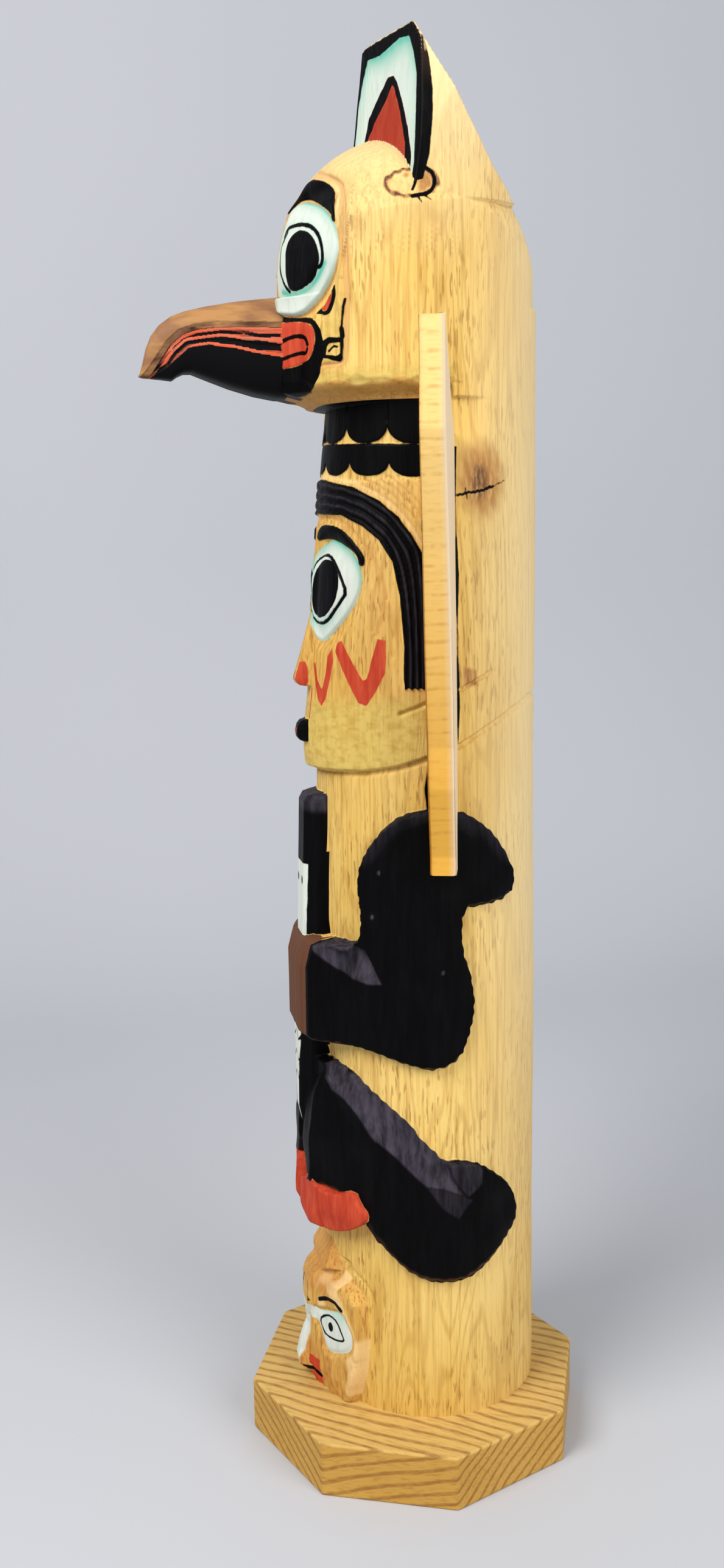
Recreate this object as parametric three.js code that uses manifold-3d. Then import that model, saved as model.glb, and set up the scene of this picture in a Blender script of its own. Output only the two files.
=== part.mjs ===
// Carved totem pole with a hooked beak and two wing boards, on an octagonal board.
// Millimetres, +Z up. The origin is the centre of the base's underside, the front looks along -Y.
import * as THREE from 'three';
import { mergeVertices } from 'three/addons/utils/BufferGeometryUtils.js';
import Module from 'manifold-3d';

const wasm = await Module();
wasm.setup();

// Base board
const BASE_RADIUS = 60;
const BASE_THICK = 19;

// The round log, its middle a little behind the middle of the base
const GAP = 0.3;
const FOOT_Z = BASE_THICK + GAP;
const LOG_RADIUS = 37.5;
const LOG_Y = 5.5;
const LOG_TOP = 468;
const LOG_SIDES = 72;

// Bird head
const HEAD_RADIUS = 39.5;
const HEAD_Y = -2;
const HEAD_BOTTOM = 357.5;
const DOME_RADIUS = 42;
const DOME_Z = 400;
const MUZZLE_FRONT = -41.2;
const MUZZLE_HALF = 12.5;
const EAR_LEAN = 0.12;

// Feather collar and middle face
const COLLAR_RADIUS = 32.6;
const COLLAR_BOTTOM = 334;
const SCALLOP_STEP = 30;
const FACE_RADIUS = 38;
const FACE_Y = 2.7;
const CHEEK_Z = 300;

// Limbs stand this far off the middle of the log
const LIMB_RADIUS = 40.2;
const FRONT_FLAT = -44;

// Wing boards
const WING_THICK = 7;
const WING_SWEEP_LEFT = 19;
const WING_SWEEP_RIGHT = 14.5;
const WING_ROOT_X = 37.4;
const WING_ROOT_Y = 7.6;
const WING_SET = 5;
const WING_BOTTOM = 212;

const rad = THREE.MathUtils.degToRad;

// ---- helpers -------------------------------------------------------------------------------

// A closed three.js geometry as a solid for cutting and joining.
function solid(geometry) {
  const bare = geometry.clone();
  bare.deleteAttribute('normal');
  bare.deleteAttribute('uv');
  const merged = mergeVertices(bare, 1e-4);
  const vertProperties = new Float32Array(merged.attributes.position.array);
  const triVerts = new Uint32Array(merged.index.array);
  return new wasm.Manifold(new wasm.Mesh({ numProp: 3, vertProperties, triVerts }));
}

// A solid back as a three.js geometry.
function geometryOf(body) {
  const mesh = body.getMesh();
  const geometry = new THREE.BufferGeometry();
  geometry.setAttribute('position', new THREE.BufferAttribute(mesh.vertProperties, 3));
  geometry.setIndex(new THREE.BufferAttribute(mesh.triVerts, 1));
  geometry.computeVertexNormals();
  return geometry;
}

function outline(points) {
  return new THREE.Shape(points.map(([u, v]) => new THREE.Vector2(u, v)));
}

function extruded(points, depth) {
  return new THREE.ExtrudeGeometry(outline(points), { depth, bevelEnabled: false, steps: 1 });
}

// A side outline in (y, z), extruded across from x0 to x1.
function sideBlock(points, x0, x1) {
  const geometry = extruded(points, x1 - x0);
  const turn = new THREE.Matrix4().makeBasis(
    new THREE.Vector3(0, 1, 0),
    new THREE.Vector3(0, 0, 1),
    new THREE.Vector3(1, 0, 0),
  );
  geometry.applyMatrix4(turn);
  geometry.translate(x0, 0, 0);
  return solid(geometry);
}

// A plan outline in (x, y), extruded up from z0 to z1; lean moves it back as it rises.
function planBlock(points, z0, z1, lean = 0) {
  const geometry = extruded(points, z1 - z0);
  const shear = new THREE.Matrix4().set(1, 0, 0, 0, 0, 1, lean, 0, 0, 0, 1, z0, 0, 0, 0, 1);
  geometry.applyMatrix4(shear);
  return solid(geometry);
}

// An upright round post whose middle is at (0, y); the top radius may differ from the bottom.
function post(radius, y, z0, z1, topRadius = radius, sides = LOG_SIDES) {
  const geometry = new THREE.CylinderGeometry(topRadius, radius, z1 - z0, sides);
  geometry.rotateX(Math.PI / 2);
  geometry.translate(0, y, (z0 + z1) / 2);
  return solid(geometry);
}

// An outline drawn on a plane that faces the angle turn away from the front toward +X.
// u runs to the right of that plane, v is height; it is extruded outward from the axis.
function facing(points, turn, near, far) {
  const geometry = extruded(points, far - near);
  const basis = new THREE.Matrix4().makeBasis(
    new THREE.Vector3(Math.cos(turn), Math.sin(turn), 0),
    new THREE.Vector3(0, 0, 1),
    new THREE.Vector3(Math.sin(turn), -Math.cos(turn), 0),
  );
  geometry.translate(0, 0, near);
  geometry.applyMatrix4(basis);
  geometry.translate(0, LOG_Y, 0);
  return solid(geometry);
}

function oval(halfWidth, halfHeight, u, v, count) {
  const points = [];
  for (let i = 0; i < count; i += 1) {
    const a = (2 * Math.PI * i) / count;
    points.push([u + halfWidth * Math.cos(a), v + halfHeight * Math.sin(a)]);
  }
  return points;
}

function join(bodies) {
  return bodies.reduce((all, body) => all.add(body));
}

// The same feature on both sides of the mid-plane.
function both(make) {
  return make(1).add(make(-1));
}

function mirrored(points, side) {
  return points.map(([u, v]) => [u * side, v]);
}

// Everything in front of the wing slots, where the collar and the face are cut in.
function frontHalf(z0, z1) {
  return planBlock([[-60, -60], [60, -60], [60, WING_ROOT_Y], [-60, WING_ROOT_Y]], z0, z1);
}

// ---- bird head -----------------------------------------------------------------------------

// The log's back is sawn off on a slant from the ears down.
const slantCut = sideBlock([
  [-6.4, LOG_TOP], [20, 425.3], [27, 416.5], [34.2, 406], [40, 396.5], [43.2, 388],
  [60, 380], [60, 500], [-6.4, 500],
], -60, 60);

function makeHead() {
  const column = post(HEAD_RADIUS, HEAD_Y, HEAD_BOTTOM, LOG_TOP)
    .add(post(LOG_RADIUS, LOG_Y, HEAD_BOTTOM, LOG_TOP));
  const ball = new THREE.SphereGeometry(DOME_RADIUS, 56, 36);
  ball.rotateX(Math.PI / 2);
  ball.translate(0, 0, DOME_Z);
  const dome = solid(ball).add(post(60, 0, HEAD_BOTTOM - 1, DOME_Z));
  // Two ear faces meet in a prow on the mid-plane and lean back as they rise.
  const half = [[36, -7.1], [50, -2], [50, 60]];
  const prow = planBlock([[0, -21], ...half, ...mirrored(half, -1).reverse()], DOME_Z, LOG_TOP, EAR_LEAN);
  const parting = planBlock([[0, -17], [2.2, -34], [-2.2, -34]], DOME_Z, LOG_TOP + 10, EAR_LEAN)
    .intersect(post(60, 0, 439, LOG_TOP + 5));
  const muzzle = planBlock(
    [[-MUZZLE_HALF, MUZZLE_FRONT], [MUZZLE_HALF, MUZZLE_FRONT], [27, -27], [-27, -27]],
    HEAD_BOTTOM, 391);
  const jawCut = sideBlock([[-60, 365], [-42, 361.5], [-33, 358.6], [-26, 357.4], [-26, 350], [-60, 350]], -60, 60);
  const frontCut = planBlock([[-60, -60], [60, -60], [60, MUZZLE_FRONT], [-60, MUZZLE_FRONT]], 350, 402);
  // Chisel bevels along the lower edge of the head.
  const bevel = post(LOG_RADIUS - 1, HEAD_Y + 1, HEAD_BOTTOM - 0.1, 370, LOG_RADIUS + 3.5, 20)
    .add(post(60, HEAD_Y, 369.9, 480))
    .add(post(LOG_RADIUS + 0.1, LOG_Y, HEAD_BOTTOM - 0.1, 370).subtract(frontHalf(350, 380)));
  const eyes = both((side) => facing(oval(12.5, 17.5, 0, 403, 24), side * rad(33), 10, 70))
    .intersect(post(HEAD_RADIUS + 1.2, HEAD_Y, 380, 425, HEAD_RADIUS - 7.5));
  return column.intersect(dome.add(prow)).subtract(parting)
    .intersect(bevel)
    .add(muzzle)
    .add(eyes)
    .subtract(frontCut)
    .subtract(jawCut);
}

// ---- collar and middle face ----------------------------------------------------------------

function shell(inner, z0, z1) {
  return post(60, LOG_Y, z0, z1).subtract(inner).intersect(frontHalf(z0, z1));
}

// Two rows of round-ended feathers stand a little off the collar.
function makeScallops() {
  const rows = [[358, 349, 0], [346, 338.5, SCALLOP_STEP / 2]];
  const plates = [];
  for (const [top, centre, shift] of rows) {
    for (let turn = -75 + shift; turn <= 75 - shift; turn += SCALLOP_STEP) {
      const half = (COLLAR_RADIUS + 0.9) * Math.tan(rad(SCALLOP_STEP / 2));
      const points = [[half, top], [-half, top]];
      for (let a = 180; a <= 360; a += 30) {
        points.push([half * Math.cos(rad(a)), centre + 5 * Math.sin(rad(a))]);
      }
      plates.push(facing(points, rad(turn), 20, 60));
    }
  }
  return join(plates).intersect(post(COLLAR_RADIUS + 0.9, LOG_Y, COLLAR_BOTTOM, HEAD_BOTTOM));
}

// The chin line rises toward the back on both sides.
const CHIN_LINE = [
  [-46, 241.3], [-20.7, 242.6], [-12.1, 244.6], [-3, 247.8], [8.1, 252], [17, 256.4], [27, 261.4], [36, 265.5],
];

function makeFace() {
  const profile = [
    [-29.3, 326], [-30.8, 313], [-32.4, 302], [-33.1, 292], [-34.2, 284], [-34.6, 268], [-34.8, 257.6],
    [-35.6, 248.5], [-35.3, 244], [-33.5, 241.5],
  ];
  const chin = CHIN_LINE.filter(([y]) => y > -34 && y < 12);
  const block = sideBlock([...profile, ...chin, [10, 326]], -50, 50)
    .intersect(post(FACE_RADIUS, FACE_Y, 240, 330, FACE_RADIUS - 2.5));
  const nose = sideBlock([[-30, 296], [-33.4, 292], [-38.6, 272], [-38.2, 269], [-33.5, 267.4], [-28, 267]], -9, 9)
    .intersect(planBlock([[0, -46], [9.5, -33.2], [7, -27], [-7, -27], [-9.5, -33.2]], 260, 300));
  const lips = sideBlock([[-34, 258.2], [-36.5, 256.6], [-38.7, 253.4], [-36.4, 252.2], [-38.3, 250.6],
    [-37.2, 247.8], [-34, 246.6]], -13, 13)
    .intersect(post(27, -11.6, 240, 262, 27, 48));
  const sockets = both((side) => facing(oval(14, 16, 0, 299, 24), side * rad(31), 0, 60))
    .subtract(post(35.2, LOG_Y, 270, 330, 31.6));
  const eyes = both((side) => facing(oval(11, 16, 0, 298, 24), side * rad(31), 0, 60))
    .intersect(post(36.4, LOG_Y, 270, 330, 32.6));
  return { block: block.subtract(sockets).add(eyes).add(nose).add(lips), sockets };
}

// Strips of the hair band as arches drawn on the side.
function makeHair() {
  const rib = (inset) => [
    [-27.5, 333.5 - inset], [-18.9, 327 - inset], [-10.7, 317.5 - inset * 0.9], [-4.8 - inset * 0.5, 304],
    [-3.2 - inset * 0.8, 290], [-2.8 - inset * 0.9, 269.5],
  ];
  const ribs = [];
  for (let i = 0; i < 3; i += 1) {
    const outer = rib(i * 2.9);
    const inner = rib(i * 2.9 + 2.1).reverse();
    ribs.push(sideBlock([...outer, ...inner], -50, 50));
  }
  return join(ribs).intersect(post(37.9, LOG_Y, 268, 336, 34.4));
}

// ---- limbs, fish and the small face ------------------------------------------------------------

const ARM = [
  [-40.5, 184], [-30.9, 185], [-24.6, 186], [-22, 193], [-23.2, 208], [-21.4, 216.5], [-15.8, 224.6],
  [-9, 229.6], [0, 231.6], [7.4, 231], [16.5, 225.7], [25.9, 215.3], [28.6, 206.7], [27.2, 200],
  [16.5, 198.4], [8.9, 198.2], [8.3, 185.4], [13, 172.6], [12.2, 158.3], [7.9, 148.6], [-0.4, 145.2],
  [-8.1, 146.2], [-22.5, 150.5], [-33.4, 151.7], [-43.9, 151.7], [-43.6, 178.9],
];
const LEG = [
  [-36.4, 141.5], [-32.2, 142.4], [-27.6, 140.8], [-19.2, 130.8], [-8.4, 119.5], [1.4, 113.5], [14.1, 110.3],
  [20.8, 107], [24.8, 100.8], [27.4, 87.5], [21.1, 76.7], [9.5, 71], [-0.9, 71], [-12.5, 78], [-21.5, 90],
  [-26.6, 97.5], [-38, 97], [-39.2, 112], [-38.6, 128],
];
const FOOT = [
  [-24, 99], [-41.4, 102], [-43, 100.5], [-43, 90], [-41, 84.8], [-34.7, 78.8],
  [-30.9, 77.2], [-22, 78], [-17.5, 84], [-18.5, 92],
];
const FISH = [
  [-20, 233], [-38.2, 233.2], [-39.6, 230], [-40.2, 205.5], [-41, 186], [-41.4, 160], [-41, 138], [-39.4, 115.4],
  [-36.5, 114.5], [-20, 122],
];
const FISH_PLAN = [[-13.5, 240], [13.5, 240], [14, 190], [12, 150], [6, 117], [5, 113], [-5, 113], [-6, 117],
  [-12, 150], [-14, 190]];

function makeLimbs() {
  const ring = post(LIMB_RADIUS, LOG_Y, 60, 240).add(planBlock(
    [[-17, FRONT_FLAT], [17, FRONT_FLAT], [28, -31], [28, -10], [-28, -10], [-28, -31]], 60, 240));
  const arms = sideBlock(ARM, -50, 50).intersect(ring);
  const wrist = both((side) => planBlock(
    mirrored([[17.4, -50], [60, -50], [60, -31.5], [27.5, -31.5], [17.4, -40.6]], side), 140, 187));
  const legs = sideBlock(LEG, -50, 50).intersect(ring).intersect(both((side) => planBlock(
    mirrored([[3.5, -60], [22, -37.4], [29, -31], [50, -20], [50, 60], [3.5, 60]], side), 60, 150)));
  const feet = sideBlock(FOOT, -50, 50).intersect(both((side) => planBlock(
    mirrored([[2.5, -50], [13, -50], [17.5, -42.5], [24, -36], [30.5, -27], [33, -15], [2.5, -10]], side), 60, 100)));
  const fishFront = facing(FISH_PLAN, 0, 10, 60);
  const fish = sideBlock(FISH, -15, 15).intersect(fishFront);
  // Fingers folded over the fish, parted by shallow cuts.
  const cuts = [];
  for (let x = -12; x <= 12; x += 6) {
    cuts.push(planBlock([[x - 0.7, -50], [x + 0.7, -50], [x, FRONT_FLAT + 1.3]], 150, 178));
  }
  return join([arms.subtract(wrist), legs, feet, fish]).subtract(join(cuts));
}

function makeSmallFace() {
  const profile = [
    [-20, 69], [-33, 69.5], [-37.5, 66], [-40.4, 58], [-40.2, 52], [-38.2, 48], [-39.6, 42], [-41.2, 34],
    [-42.8, 26.5], [-41.6, 24.4], [-38.6, 23.6], [-38.8, FOOT_Z], [-20, FOOT_Z],
  ];
  const plan = [[-2, -46], [2, -46], [7, -38.5], [17, -33.5], [25, -24], [25, -10], [-25, -10], [-25, -24],
    [-17, -33.5], [-7, -38.5]];
  return sideBlock(profile, -40, 40).intersect(planBlock(plan, FOOT_Z, 75));
}

// ---- wings ---------------------------------------------------------------------------------

// Board outline: distance out from the root line, and height. Grow widens it for the slot.
function wingOutline(side, grow) {
  const set = -WING_SET - grow;
  return mirrored([
    [set, WING_BOTTOM - grow], [11.5, WING_BOTTOM - grow], [12, 218], [21, 241], [23, 254], [31.5, 279],
    [42, 312], [51.5, 337], [54, 345], [54, 374.5], [50, 374.5], [12, 352.5], [set, 347 + grow],
  ], side);
}

function wingGeometry(side, grow) {
  const geometry = extruded(wingOutline(side, grow), WING_THICK + 2 * grow);
  geometry.rotateX(Math.PI / 2);
  geometry.translate(0, grow, 0);
  return geometry;
}

function wingTurn(side) {
  return -side * rad(side > 0 ? WING_SWEEP_LEFT : WING_SWEEP_RIGHT);
}

function wingSlot(side) {
  const geometry = wingGeometry(side, GAP);
  geometry.rotateZ(wingTurn(side));
  geometry.translate(side * WING_ROOT_X, WING_ROOT_Y, 0);
  return solid(geometry);
}

// ---- beak ----------------------------------------------------------------------------------

const BEAK = [
  [MUZZLE_FRONT - GAP, 391.5], [-50, 392.6], [-58, 391.6], [-68, 388.8], [-76, 385.4], [-81.5, 381], [-84.6, 375],
  [-86, 368.4], [-84.5, 367], [-77.5, 366.2], [-74.4, 367.8], [-70.8, 368.9], [-66, 367.6], [-57, 363.6],
  [-47.4, 361.2], [MUZZLE_FRONT - GAP, 361.4],
];

function makeBeak() {
  const plan = [
    [-MUZZLE_HALF, MUZZLE_FRONT - GAP], [MUZZLE_HALF, MUZZLE_FRONT - GAP], [10.5, -56], [7.5, -70], [4, -82], [2.2, -87],
    [-2.2, -87], [-4, -82], [-7.5, -70], [-10.5, -56],
  ];
  // The ridge is narrower than the cheeks of the beak.
  const roof = [[-13, 355], [13, 355], [12.5, 384], [6.5, 393.5], [-6.5, 393.5], [-12.5, 384]];
  return sideBlock(BEAK, -20, 20)
    .intersect(planBlock(plan, 350, 400))
    .intersect(facing(roof, 0, 20, 120));
}

// ---- the pole ------------------------------------------------------------------------------

function makePole() {
  const log = post(LOG_RADIUS, LOG_Y, FOOT_Z, HEAD_BOTTOM + 5);
  const upperFace = shell(post(35.4, LOG_Y, CHEEK_Z - 0.01, COLLAR_BOTTOM + 0.01, 33.4), CHEEK_Z, COLLAR_BOTTOM);
  const collar = shell(post(COLLAR_RADIUS, LOG_Y, 330, 360), COLLAR_BOTTOM, HEAD_BOTTOM);
  const chinGroove = sideBlock([
    ...CHIN_LINE, ...CHIN_LINE.map(([y, z]) => [y, z - 1.4]).reverse(),
  ], -50, 50).subtract(post(LOG_RADIUS - 1.2, LOG_Y, 235, 270));
  const face = makeFace();
  return log
    .subtract(collar)
    .subtract(upperFace)
    .subtract(face.sockets)
    .subtract(chinGroove)
    .add(face.block)
    .add(makeHair())
    .add(makeScallops())
    .add(makeHead())
    .add(makeLimbs())
    .add(makeSmallFace())
    .subtract(slantCut)
    .subtract(wingSlot(1))
    .subtract(wingSlot(-1));
}

// ---- assembly ------------------------------------------------------------------------------

const cedar = new THREE.MeshStandardMaterial({ color: 0xd9a95c, roughness: 0.6, metalness: 0 });
const cedarBoard = new THREE.MeshStandardMaterial({ color: 0xe4b86e, roughness: 0.65, metalness: 0 });
const fir = new THREE.MeshStandardMaterial({ color: 0xc9a063, roughness: 0.7, metalness: 0 });
const paintedBeak = new THREE.MeshStandardMaterial({ color: 0x8a5a3c, roughness: 0.5, metalness: 0 });

function piece(name, geometry, material) {
  const mesh = new THREE.Mesh(geometry, material);
  mesh.name = name;
  return mesh;
}

const totem = new THREE.Group();

const board = new THREE.CylinderGeometry(BASE_RADIUS, BASE_RADIUS, BASE_THICK, 8);
board.rotateX(Math.PI / 2);
const base = piece('base', board, fir);
base.position.set(0, 0, BASE_THICK / 2);
totem.add(base);

totem.add(piece('pole', geometryOf(makePole()), cedar));
totem.add(piece('beak', geometryOf(makeBeak()), paintedBeak));

for (const [name, side] of [['wing_left', 1], ['wing_right', -1]]) {
  const wing = piece(name, wingGeometry(side, 0), cedarBoard);
  wing.position.set(side * WING_ROOT_X, WING_ROOT_Y, 0);
  wing.rotation.z = wingTurn(side);
  totem.add(wing);
}

export default totem;
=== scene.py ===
"""Carved and painted totem pole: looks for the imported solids. Metres, +Z up, front toward -Y."""
import math

import bmesh
import bpy
import numpy as np
from mathutils import Matrix, Vector


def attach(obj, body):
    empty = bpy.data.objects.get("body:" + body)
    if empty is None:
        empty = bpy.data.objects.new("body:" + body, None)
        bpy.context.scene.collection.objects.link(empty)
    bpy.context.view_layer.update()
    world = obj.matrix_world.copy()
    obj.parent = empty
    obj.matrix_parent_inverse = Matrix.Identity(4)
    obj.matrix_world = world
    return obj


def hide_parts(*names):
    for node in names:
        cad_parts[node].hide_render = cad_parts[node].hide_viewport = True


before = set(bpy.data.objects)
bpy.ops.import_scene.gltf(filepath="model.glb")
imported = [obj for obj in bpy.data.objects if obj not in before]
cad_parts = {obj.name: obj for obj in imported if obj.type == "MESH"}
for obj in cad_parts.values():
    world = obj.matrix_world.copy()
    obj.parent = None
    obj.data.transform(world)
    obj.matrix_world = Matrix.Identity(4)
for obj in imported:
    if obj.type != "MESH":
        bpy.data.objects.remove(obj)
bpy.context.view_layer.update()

MM = 0.001
scene = bpy.context.scene


def lin(r, g, b):
    """sRGB bytes to a linear colour."""
    return [((v / 255 + 0.055) / 1.055) ** 2.4 if v > 10 else v / 255 / 12.92
        for v in (r, g, b)] + [1.0]


# ---- the log and its carving, in millimetres ------------------------------------------------

LOG_R, LOG_Y = 37.2, 5.5
HEAD_R, HEAD_Y = 38.8, -2.0
DOME_R, DOME_Z = 41.4, 400.0
COLLAR_R = 32.8
POLE_FOOT = 19.0
JAW_Z = 359.2
FAR = 9.0       # stands for any distance too great to matter
NO_HIT = 1e3    # a ray that meets nothing
WING_X, WING_Y, WING_SWEEP = 37.4, 6.4, 17.5
FAR_WING_SWEEP = WING_SWEEP - 5.3

# Side outlines as (degrees round from the front, height)
ARM = [(41.8, 208.7), (45.6, 217.6), (59.9, 228), (74, 231.6), (92.7, 231.2), (105.9, 226),
    (121.4, 215.5), (126.4, 206.7), (123.8, 199.8), (105.9, 198.6), (94.9, 198.5), (93.9, 185.4),
    (100.9, 172.6), (99.6, 158.3), (93.1, 147.2), (81.5, 143.9), (70.1, 144.9), (45.6, 149.8),
    (10, 150.4), (10, 185.2), (24.5, 185.4), (42.1, 185.8), (44.4, 192.7)]
LEG = [(4, 142), (19.5, 142.4), (27, 141.3), (34.1, 140.8), (40.5, 137.9), (51.8, 133), (64.7, 127),
    (75.6, 118), (84.5, 112.4), (88, 112.6), (95.2, 112.2), (104.3, 109.8), (112, 106), (122.7, 99.5),
    (127, 95), (128.6, 88), (123.2, 80.6), (116.9, 77.4), (107.9, 72.6), (98.2, 69.2), (87.8, 68.4),
    (77.8, 69), (68, 71.4), (57.9, 76.5), (52, 81), (46, 87), (42, 92), (36.7, 97), (4, 96.6)]
THIGH_EDGE = [(18, 134.6), (26, 133.5), (34.4, 131.3), (42.2, 126.9), (50.1, 120.9), (60.2, 114.9),
    (68, 110), (75.5, 104.8), (83.2, 103.6), (94, 100.2)]
FOREARM_EDGE = [(22, 182), (26, 179.9), (32.3, 176.8), (40.2, 174.3), (49.4, 173.3), (55.7, 173.8)]
THIGH_FACET = [(20, 143), (40.5, 139), (51.7, 134.5), (64.7, 128), (75.6, 119.2), (85.5, 112.6),
    (88, 107.3), (94, 100.2), (83.2, 103.6), (75.5, 104.8), (68, 110), (60.2, 114.9), (50.1, 120.9),
    (42.2, 126.9), (34.4, 131.3), (26, 133.5), (21.5, 137)]
FOREARM_FACET = [(21, 183), (24, 186), (40, 186), (47, 184.5), (55.7, 173.8), (49.4, 173.3),
    (40.2, 174.3), (32.3, 176.8), (26, 180)]
SHOULDER_EDGE = [(47.4, 217.1), (59.9, 227.6), (74, 231.4), (92.7, 231), (105.9, 225.7), (120.6, 215.3)]
FOOT = [(3.5, 96.8), (9, 99), (16, 101.4), (22, 98.4), (31, 98), (41.5, 101), (44, 95.8), (48, 93.3),
    (47.3, 90), (39.6, 85.4), (32, 83.2), (25.3, 82.2), (8, 82), (3.5, 82.6)]
CHIN = [(0, 241.3), (11.6, 241.6), (45.7, 242.8), (62, 244.6), (77, 247.8), (94, 252), (108, 256.7),
    (125, 261.7), (142, 265), (180, 266.5)]
HAIR_OUT = [(0, 336), (9.9, 335.5), (36.9, 332.7), (54.3, 327.9), (63.9, 323), (70, 318.2), (75.8, 312),
    (77.2, 292.9), (77.4, 269.4)]
HAIR_IN = [(0, 325), (8.8, 324.6), (29.8, 324), (44.4, 320.4), (54, 316), (61.2, 309.3), (65, 298.7),
    (67.1, 283.3), (66.7, 269.4)]
FACE_EYE = [(1.5, 293), (0.8, 301), (0.8, 308.5), (3.5, 312.6), (12.1, 315.3), (19.4, 316.6),
    (28.6, 315.1), (38.5, 311.8), (42.6, 307.8), (43.9, 303.7), (40.6, 297.7), (34.5, 292.5),
    (24.6, 287.4), (17.3, 284.2), (12.2, 283.6), (4.2, 286)]
FACE_PUPIL = [(2.8, 300), (5, 306.8), (14, 310.3), (23.2, 310.2), (28.4, 306.8), (30.1, 302.7),
    (28.3, 297.6), (24.3, 294.4), (17.2, 291.3), (6.8, 291.8), (3.4, 295.4)]
FACE_ALMOND = [(0.8, 301), (2.2, 306), (6.4, 310), (13.5, 311.6), (20.3, 311.4), (25.3, 309.2),
    (30.7, 304.9), (34.8, 299.9), (30.8, 296.9), (26.5, 294), (21.3, 291), (15.5, 289.5), (5.4, 290.2),
    (1.6, 295)]
FACE_BROW = [(2.5, 318.5), (7.8, 321.2), (21.7, 321.2), (32.3, 319.1), (39.2, 315.7), (44.4, 312.4),
    (46.6, 310.4), (45.6, 307.9), (41.4, 308.1), (41.3, 310.7), (38.3, 312.5), (26.4, 315.6),
    (15.8, 317), (3, 315.8)]
FACE_LINE = [(3, 323.3), (18, 323.4), (31.8, 322), (44.9, 315.2), (54.2, 307.5), (57.5, 299.8),
    (56.8, 294.1), (52.9, 286.4)]
BIG_V = [(28.7, 281), (29.9, 284), (33, 284.6), (37.2, 280.3), (42, 276), (46, 272.2), (48.1, 272.7),
    (50.5, 278.6), (53.8, 285.4), (57.7, 285), (58.2, 279.6), (57.7, 274.8), (53, 268.9), (48, 264.2),
    (43.6, 265), (39.3, 269.5), (33.2, 276.2)]
SMALL_V = [(7.4, 276.5), (10, 276.8), (13.8, 271.4), (18.8, 268.4), (21.5, 273.8), (22.7, 279.4),
    (26.2, 282), (27.2, 278), (25.4, 272), (22.2, 265.6), (19.1, 262.8), (15.4, 265.2), (10.4, 271.3)]
# Flats cut across the hip and the knee
HIP_FACET = [(85.5, 112.6), (95, 112), (104, 109.4), (103, 103.6), (96, 99.8), (91.5, 103.4),
    (88, 107.3)]
KNEE_FACET = [(75.5, 104.8), (83.2, 103.6), (94, 100.2), (98, 98.6), (91, 92.4), (83, 97)]
WING_GAP = [(81, 252), (81, 226), (77.6, 228), (76, 238), (78, 246)]
GOUGES = ([(50, 313.5), (54.5, 303), (55.5, 294)], [(47.6, 318), (52.4, 311.4)],
    [(55.4, 307), (58.6, 297.6)], [(50.4, 300), (51.2, 288)], [(60, 292), (61.4, 280)])
# Outlines on the bird's head, round its own middle
EYE = [(0.8, 413), (3.2, 418.2), (8.7, 420.6), (14.9, 420.1), (31.8, 416.9), (41.4, 413.1),
    (47.2, 408.7), (49.5, 404.6), (49.7, 401.4), (48.2, 397.7), (45.1, 394.1), (39.6, 390.8), (34, 388),
    (29.4, 385.7), (23.9, 384.6), (19, 385.2), (11, 386.2), (4.6, 389), (1.4, 394), (0.8, 402)]
PUPIL = [(22.2, 410.8), (30, 408.9), (35.6, 405.9), (38.9, 402.3), (39.4, 399), (37, 396.1),
    (33.7, 394.1), (27.4, 392.8), (21.4, 392.3), (16.6, 392.9), (13.5, 395.9), (12.3, 400),
    (10.8, 406.8), (15, 410)]
EYE_LINE = [(6.9, 410.3), (8.8, 412.5), (18.1, 412.6), (25.4, 411.8), (32.6, 409.9), (37.9, 407),
    (40.7, 403.4), (41.5, 400.1), (40.5, 398.3), (38.5, 397.7)]
EYE_LINE_LOW = [(10.3, 411.2), (6.2, 408.8), (3.8, 407.7), (4.5, 404.3), (5.7, 400.8), (8.3, 397.8),
    (11.9, 394.8), (15.7, 392.7)]
EYE_WATER = [(42.4, 398.7), (39.5, 396.5), (35.9, 394.2), (30, 392.2), (22.2, 391.6), (14.3, 392.2),
    (8.8, 393.4)]
BROW = [(0.6, 417.4), (1.2, 420.6), (4.4, 424.4), (9, 426.6), (14.4, 426.9), (21, 426.2), (28.6, 424.9),
    (33, 423.8), (38.8, 421.6), (44.1, 418.4), (44.2, 413.8), (45.5, 410.1), (43.6, 411), (40.3, 413.9),
    (30.3, 417.5), (14.7, 420.9), (8.4, 421.2), (5.1, 419.6)]
EDGE_GROOVE = [(12, 429), (25, 427), (35, 425.1), (45.1, 422), (50.7, 417), (52.9, 408.8), (53.2, 395),
    (53.4, 383), (52.5, 372.6), (51.6, 368.6), (40, 368.8)]
TEAR = [(47.1, 392.6), (48.5, 389.4), (47, 386.8), (44.8, 384.2), (41.5, 383.4), (38.2, 384.2),
    (33, 384.7), (37, 386), (40.8, 386.8), (42.4, 388.4), (45, 390.8)]
TEAR_RED = [(45.5, 390.2), (44.6, 387.7), (42.2, 385.1), (39.8, 384.9), (38, 385.8), (40.5, 387.4),
    (42.7, 389.2)]
THIN_LINE = [(52.4, 387.6), (51.6, 385.2), (51.2, 382), (50.6, 379), (50.9, 376.8)]
BOX = [(40.3, 376), (43.2, 377), (51.5, 376.5), (51, 370.2), (49.4, 369.4), (40.3, 371.1)]
BOX_IN = [(42.7, 374.2), (43.9, 375.1), (49.9, 375.1), (49.6, 371.9), (47.8, 371.3), (42.1, 372)]
BOX_MARK = [(43.8, 372.9), (46.4, 374.2), (48.4, 373.9)]
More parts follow.
